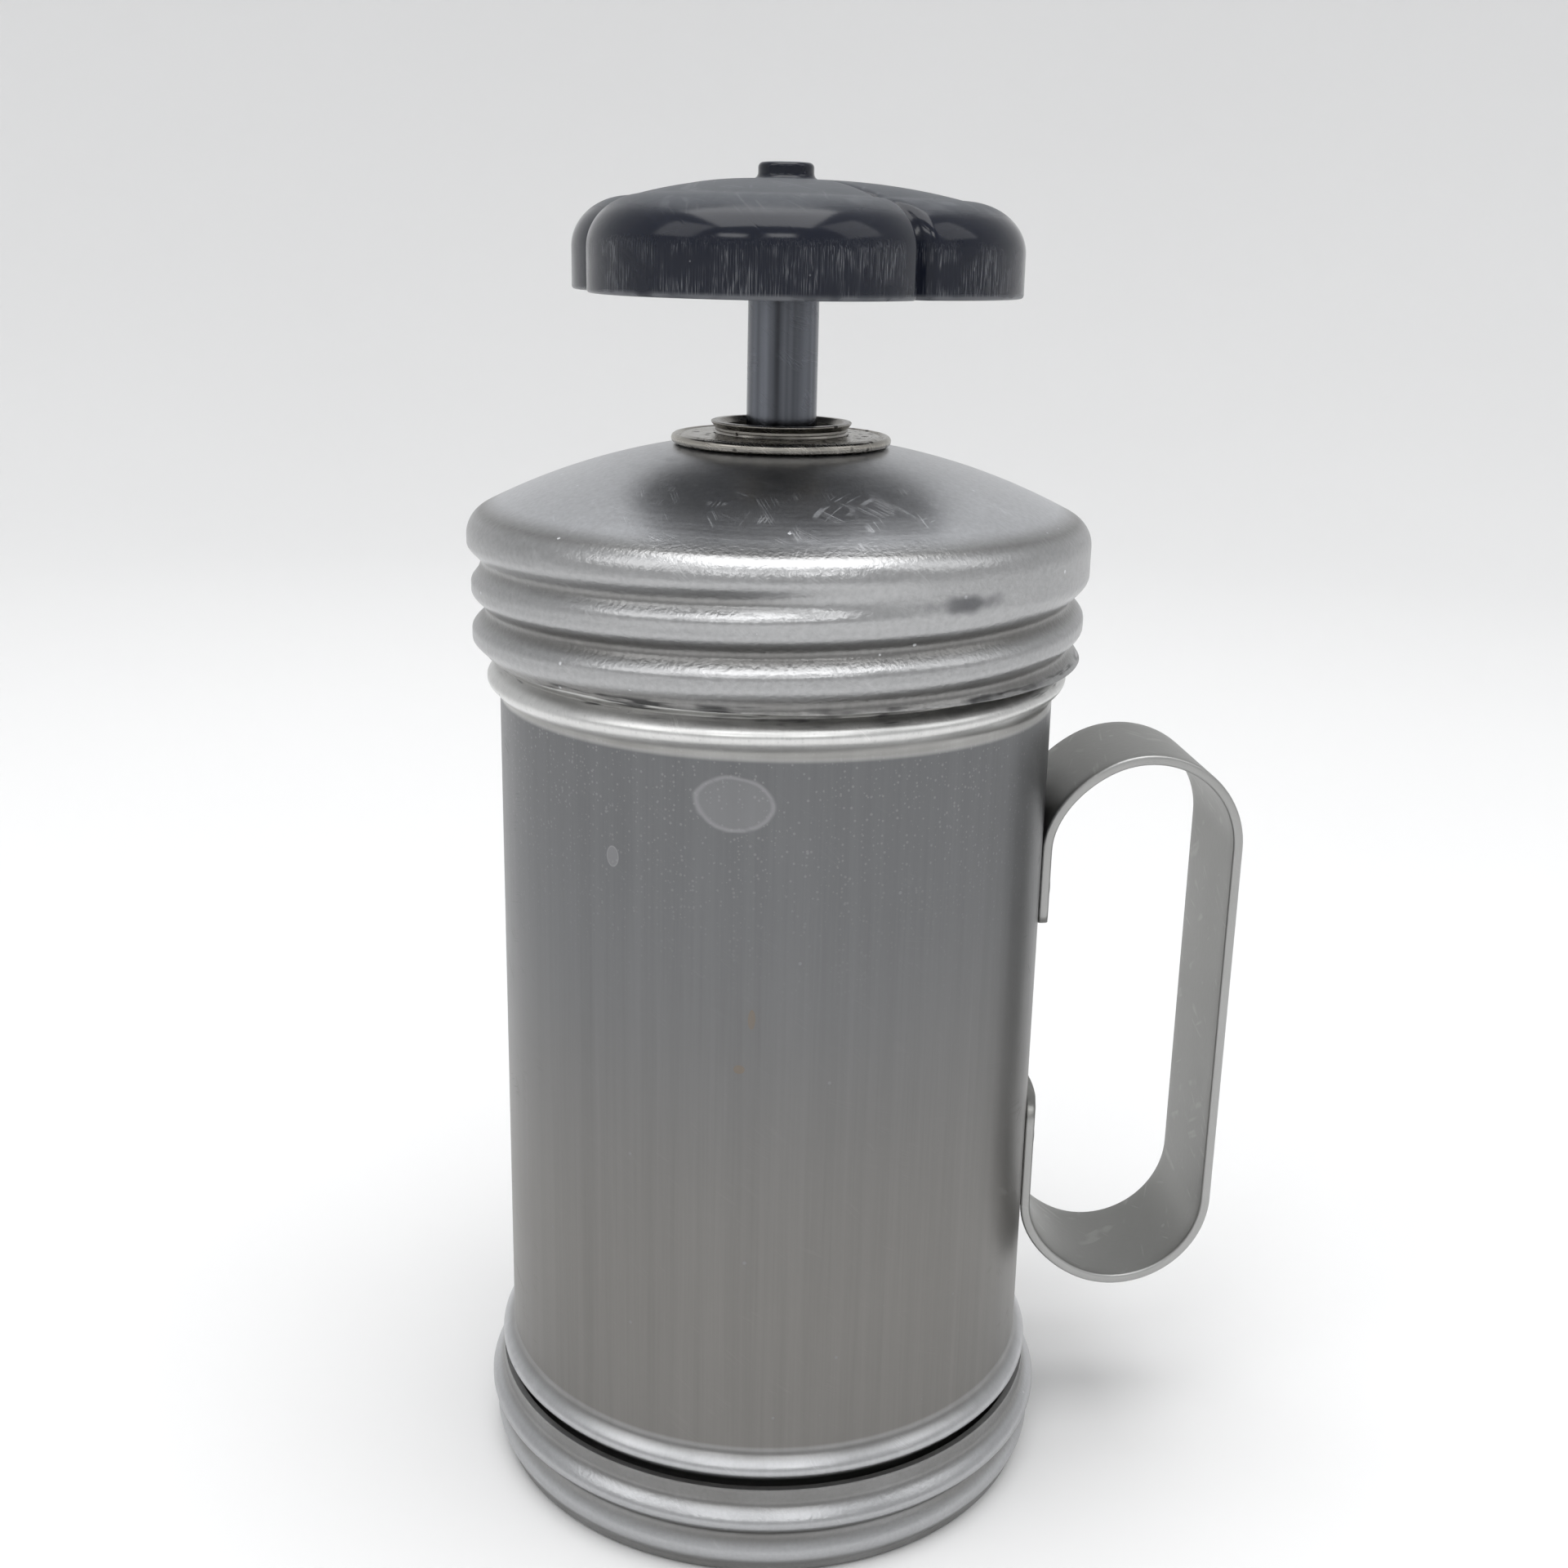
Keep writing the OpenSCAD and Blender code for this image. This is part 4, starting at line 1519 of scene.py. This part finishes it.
@dataclass
class BaseRing:
    """The screw ring that holds the disc, with its two level beads."""

    turning: TurningTree
    finish: bpy.types.Material
    wall: float = 0.9 * MM
    mouth: float = 28.5 * MM
    inside: float = 33.0 * MM
    beads: tuple[tuple[float, float], ...] = ((3.1 * MM, 0.9 * MM), (7.5 * MM, 1.5 * MM))
    bead_half: float = 2.3 * MM
    raised: float = 0.9 * MM
    corner: float = 0.8 * MM
    lip_round: float = 0.3 * MM

    def build(self) -> None:
        """Makes the ring."""
        span = Span("base_ring")
        outer = self.inside + self.wall
        foot = self.wall

        def radius(z: float) -> float:
            """The ring's outer radius at a level."""
            return outer + sum(swell(z, span.low + at, self.bead_half, high)
                               for at, high in self.beads)

        corner = self.corner
        lip = self.lip_round
        line = arc((self.mouth + lip, span.low + lip), (lip,) * 2, 180, 270, 4)
        line += arc((radius(foot) - corner, span.low + corner), (corner, corner), -90, -8, 8)
        top = span.high + self.raised
        levels = steps(span.low + foot + 0.1 * MM, top - 0.2 * MM, 52)
        line += [(radius(z), z) for z in levels]
        line += [(radius(top) - 0.1 * MM, top), (radius(top) - self.wall + 0.1 * MM, top)]
        line += [(radius(z) - self.wall, z) for z in reversed(levels[4:])]
        line += [(self.inside, span.low + self.wall), (self.mouth, span.low + self.wall)]
        Turned("base_screw_ring", "ring", "ring", ("base_ring",), line,
               self.finish).build(self.turning)


@dataclass(frozen=True)
class Softened:
    """A CAD node that keeps its shape and gets its sharp edges broken."""

    node: str
    body: str
    slot: str
    finish: bpy.types.Material
    width: float = 0.12 * MM

    def build(self) -> None:
        """Copies the node's mesh, merges it and bevels its sharp edges."""
        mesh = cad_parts[self.node].data.copy()
        mesh.materials.clear()
        mesh.materials.append(self.finish)
        piece = add_object(f"{self.node}_eased", shaded(mesh))
        bevel = piece.modifiers.new("eased_edges", "BEVEL")
        bevel.width = self.width
        bevel.segments = 2
        bevel.limit_method = "ANGLE"
        bevel.angle_limit = SHARP_ANGLE
        bevel.harden_normals = False
        evaluated(piece)
        shaded(piece.data)
        hand_over(piece, self.body, self.slot, self.node)


# ---------------------------------------------------------------- studio


@dataclass(frozen=True)
class SoftBox:
    """A rectangular lamp that faces the middle of the press. The power is in watts."""

    name: str
    place: tuple[float, float, float]
    width: float
    height: float
    power: float

    def build(self) -> None:
        """Adds the lamp."""
        data = bpy.data.lights.new(self.name, "AREA")
        data.shape = "RECTANGLE"
        data.size = self.width
        data.size_y = self.height
        data.energy = self.power
        light = bpy.data.objects.new(self.name, data)
        turn = (LAMP_AIM - Vector(self.place)).to_track_quat("-Z", "Y").to_matrix().to_4x4()
        light.matrix_world = Matrix.Translation(self.place) @ turn
        bpy.context.scene.collection.objects.link(light)


LAMP_AIM = Vector((0, 0, 0.08))
LAMPS = (
    SoftBox("overhead", (0.0, -0.1, 1.15), 0.95, 0.95, 8.6),
    SoftBox("left_side", (-0.85, -0.35, 0.95), 0.6, 0.6, 1.6),
    SoftBox("right_side", (0.85, -0.25, 0.95), 0.6, 0.6, 1.2),
    SoftBox("left_window", (-0.34, -0.74, 0.72), 0.28, 0.14, 0.5),
    SoftBox("right_window", (0.13, -0.74, 0.72), 0.26, 0.14, 0.5),
)


@dataclass
class Studio:
    """A pale floor that sweeps up all round, soft lights and the camera."""

    air: Colour = (0.60, 0.605, 0.612)
    floor_colour: Colour = (0.85, 0.85, 0.85)
    floor_radius: float = 0.7
    floor_drop: float = 0.02 * MM
    floor_segments: int = 128
    sweep: float = 1.1
    wall_top: float = 1.9
    camera_place: tuple[float, float, float] = (-19.76 * MM, -213.85 * MM, 148.77 * MM)
    camera_heading: float = math.radians(5.59)
    camera_pitch: float = math.radians(16.33)
    camera_roll: float = math.radians(1.2)
    camera_lens: float = 42.5
    sensor: float = 36.0

    def build(self) -> None:
        """Makes the floor, the lights and the camera."""
        self._cove()
        for lamp in LAMPS:
            lamp.build()
        world = bpy.data.worlds.new("studio_air")
        world.use_nodes = True
        background = world.node_tree.nodes["Background"]
        background.inputs["Color"].default_value = (*self.air, 1.0)
        background.inputs["Strength"].default_value = 1.0
        bpy.context.scene.world = world
        bpy.context.scene.view_settings.view_transform = "Standard"
        self._camera()

    def _cove(self) -> None:
        """The floor and its curved wall, as one turned sheet."""
        line = [(r, 0.0) for r in (0.05, 0.3, self.floor_radius)]
        line += arc((self.floor_radius, self.sweep), (self.sweep, self.sweep), -90, 0, 24)[1:]
        line += [(self.floor_radius + self.sweep, z)
                 for z in steps(self.sweep, self.wall_top, 4)[1:]]
        count = self.floor_segments
        turns = [FULL_TURN * i / count for i in range(count)]
        rings = [[Vector((r * math.cos(a), r * math.sin(a), z - self.floor_drop)) for a in turns]
                 for r, z in line]
        points = [p for ring in rings for p in ring] + [Vector((0, 0, -self.floor_drop))]
        faces = [(low * count + i, (low + 1) * count + i, (low + 1) * count + (i + 1) % count,
                  low * count + (i + 1) % count)
                 for low in range(len(rings) - 1) for i in range(count)]
        faces += [(i, (i + 1) % count, len(points) - 1) for i in range(count)]
        mesh = bpy.data.meshes.new("studio_cove")
        mesh.from_pydata(points, [], faces)
        mesh.shade_smooth()
        cove = add_object("studio_cove", mesh)
        paint = Paint("pale_floor")
        cloud = paint.effect("cloud", Scale=3.0, Seed=1.0) - 0.5
        colour = paint.scaled(self.floor_colour, cloud * 0.03 + 1.0)
        mesh.materials.append(paint.finish(colour, cloud * 0.1 + 0.9, cloud, 0.0))

    def _camera(self) -> None:
        """Adds the camera, from its heading, pitch and roll."""
        data = bpy.data.cameras.new("camera")
        data.lens = self.camera_lens
        data.sensor_width = self.sensor
        data.clip_start = 0.01
        turn, tip, roll = self.camera_heading, self.camera_pitch, self.camera_roll
        level = Vector((math.sin(turn), math.cos(turn), 0))
        side = Vector((math.cos(turn), -math.sin(turn), 0))
        ahead = level * math.cos(tip) - Vector((0, 0, math.sin(tip)))
        over = level * math.sin(tip) + Vector((0, 0, math.cos(tip)))
        right = side * math.cos(roll) + over * math.sin(roll)
        up = over * math.cos(roll) - side * math.sin(roll)
        camera = bpy.data.objects.new("camera", data)
        axes = Matrix((right, up, -ahead)).transposed().to_4x4()
        camera.matrix_world = Matrix.Translation(self.camera_place) @ axes
        bpy.context.scene.collection.objects.link(camera)
        bpy.context.scene.camera = camera


# ---------------------------------------------------------------- putting it together


STRAP_TONE = (0.27, 0.27, 0.26)
STRAP_EDGE_TONE = (0.42, 0.42, 0.415)
WATER_TONE = (0.36, 0.36, 0.37)
RUST_TONE = (0.25, 0.18, 0.11)
BARREL_METAL = Metal(
    "satin_barrel_aluminium", (0.165, 0.168, 0.173), 0.38, Grain.UP, 3200.0, 0.16, 0.25,
    blotch=0.13, peel=0.25, peel_scale=1900.0, scratches=0.38, scratch_tone=0.10, dust=0.06,
    marks=(
        Mark((-7.0 * MM, -31.7 * MM, 93.0 * MM), 4.4 * MM, 3.1 * MM, WATER_TONE, 0.42, 0.34),
        Mark((-19.6 * MM, -26.0 * MM, 85.6 * MM), 0.8 * MM, 1.2 * MM, WATER_TONE, 0.35, 0.5),
        Mark((-4.9 * MM, -32.1 * MM, 69.0 * MM), 0.35 * MM, 1.1 * MM, RUST_TONE, 0.2, 0.5, 0.6),
        Mark((-6.2 * MM, -31.9 * MM, 63.2 * MM), 0.5 * MM, 0.4 * MM, RUST_TONE, 0.2, 0.5, 0.7),
    ),
    # Painted highlights: the beads' stretches are coloured brighter than the tube.
    painted_light_stretches=(PaintedLightStretch(-1.0 * MM, 16.2 * MM, (0.47, 0.475, 0.485), 0.33),
           PaintedLightStretch(97.4 * MM, 120.0 * MM, (0.66, 0.66, 0.65), 0.33)),
    groove_soil_and_shade=(32.55 * MM, 33.5 * MM),
    streaks=0.22, foot=(0.205, 0.199, 0.190), haze=(64 * MM, 98 * MM),
    # Scuff marks and painted shade on the bead under the cap's edge.
    rubs_and_joint_shade=((101.2 * MM, 105.0 * MM),))
CAP_METAL = Metal(
    "bright_cap_aluminium", (0.60, 0.61, 0.63), 0.32, Grain.ROUND, 2600.0, 0.06, 0.12,
    blotch=0.08, peel=3.2, peel_scale=1700.0, scratches=0.40, scratch_tone=0.08, dust=0.14,
    marks=(
        Mark((17.0 * MM, -31.6 * MM, 114.0 * MM), 6.5 * MM, 1.1 * MM, (0.12, 0.122, 0.13), 0.0,
             0.75, 1.0, 2.0, 0.9),
    ),
    # Painted shade: the skirt and shoulder are coloured darker than the dome.
    painted_light_stretches=(PaintedLightStretch(90.0 * MM, 120.4 * MM, (0.40, 0.402, 0.406), 0.32, 1.8 * MM),),
    groove_soil_and_shade=(34.1 * MM, 35.2 * MM),
    # Scuff marks and painted shade along the skirt's lower edge.
    rubs_and_joint_shade=((102.4 * MM, 104.0 * MM),))
RING_METAL = Metal("ring_aluminium", (0.44, 0.445, 0.455), 0.32, Grain.ROUND, 2600.0, 0.05, 0.12,
                   peel=1.8, peel_scale=2100.0, scratches=0.36, scratch_tone=0.1, dust=0.05,
                   groove_soil_and_shade=(33.95 * MM, 34.7 * MM))
NICKEL = Metal("warm_worn_nickel", (0.36, 0.343, 0.31), 0.24, Grain.ROUND, 1500.0, 0.3, 0.3,
               blotch=0.6, scratches=0.5, pits=0.6)
DARK_NICKEL = Metal("dark_nickel", (0.30, 0.287, 0.265), 0.28, Grain.ROUND, 2500.0, 0.3, 0.3,
                    blotch=0.3, scratches=0.45, pits=0.12)
# The coarse, strong grain paints reflection streaks down the shank.
STEEL = Metal("drawn_steel", (0.095, 0.10, 0.113), 0.22, Grain.UP, 480.0, 3.4, 0.3,
              blotch=0.25, peel=0.3, peel_scale=3000.0, scratches=0.42, scratch_tone=0.15)
PISTON_METAL = Metal("piston_aluminium", (0.46, 0.47, 0.49), 0.33, Grain.ROUND, 1700.0, 0.15, 0.4)
DISC_METAL = Metal("disc_steel", (0.50, 0.50, 0.50), 0.30, Grain.ROUND, 900.0, 0.16, 0.3,
                   blotch=0.2, scratches=0.52, dust=0.05)
BRASS = Metal("knob_bush_brass", (0.16, 0.125, 0.07), 0.4, Grain.ROUND, 1600.0, 0.15, 0.3)
CLIP_STEEL = Metal("spring_steel", (0.14, 0.14, 0.15), 0.35, Grain.ROUND, 1600.0, 0.15, 0.3)


class Press:
    """The whole press, built one sub-assembly after another."""

    def __init__(self) -> None:
        """Prepares the shared tree and the finishes."""
        self.turning = TurningTree()
        self.nickel = NICKEL.material()
        self.dark_nickel = DARK_NICKEL.material()
        self.steel = STEEL.material()
        self.washer = PISTON_METAL.material()
        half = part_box("handle_strap")[1].y
        self.strap = Strap("satin_strap", STRAP_TONE, STRAP_EDGE_TONE, half).material()

    def build(self) -> None:
        """Builds every piece."""
        knob = Span("knob")
        Barrel(self.turning, BARREL_METAL.material()).build()
        Handle(self.strap, self.strap).build()
        Cap(self.turning, CAP_METAL.material(), self.nickel, self.dark_nickel).build()
        Screw(self.turning, self.steel).build()
        Knob(Moulding("black_moulding_with_wear_and_sheen", knob.low, knob.high).material()).build()
        Piston(self.turning, self.washer).build()
        BaseRing(self.turning, RING_METAL.material()).build()
        eased = (
            Softened("backing_washer", "cap", "washer", self.washer),
            Softened("piston_washer", "piston", "washer", self.nickel),
            Softened("piston_clip", "spindle", "clip", CLIP_STEEL.material(), 0.08 * MM),
            Softened("knob_bush", "spindle", "bush", BRASS.material()),
            Softened("forming_disc", "disc", "disc", DISC_METAL.material()),
        )
        for piece in eased:
            piece.build()


def main() -> None:
    """Builds the studio and the press."""
    logging.basicConfig(level=logging.INFO, format="%(name)s: %(message)s")
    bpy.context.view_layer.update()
    Studio().build()
    Press().build()


if __name__ == "__main__":
    main()
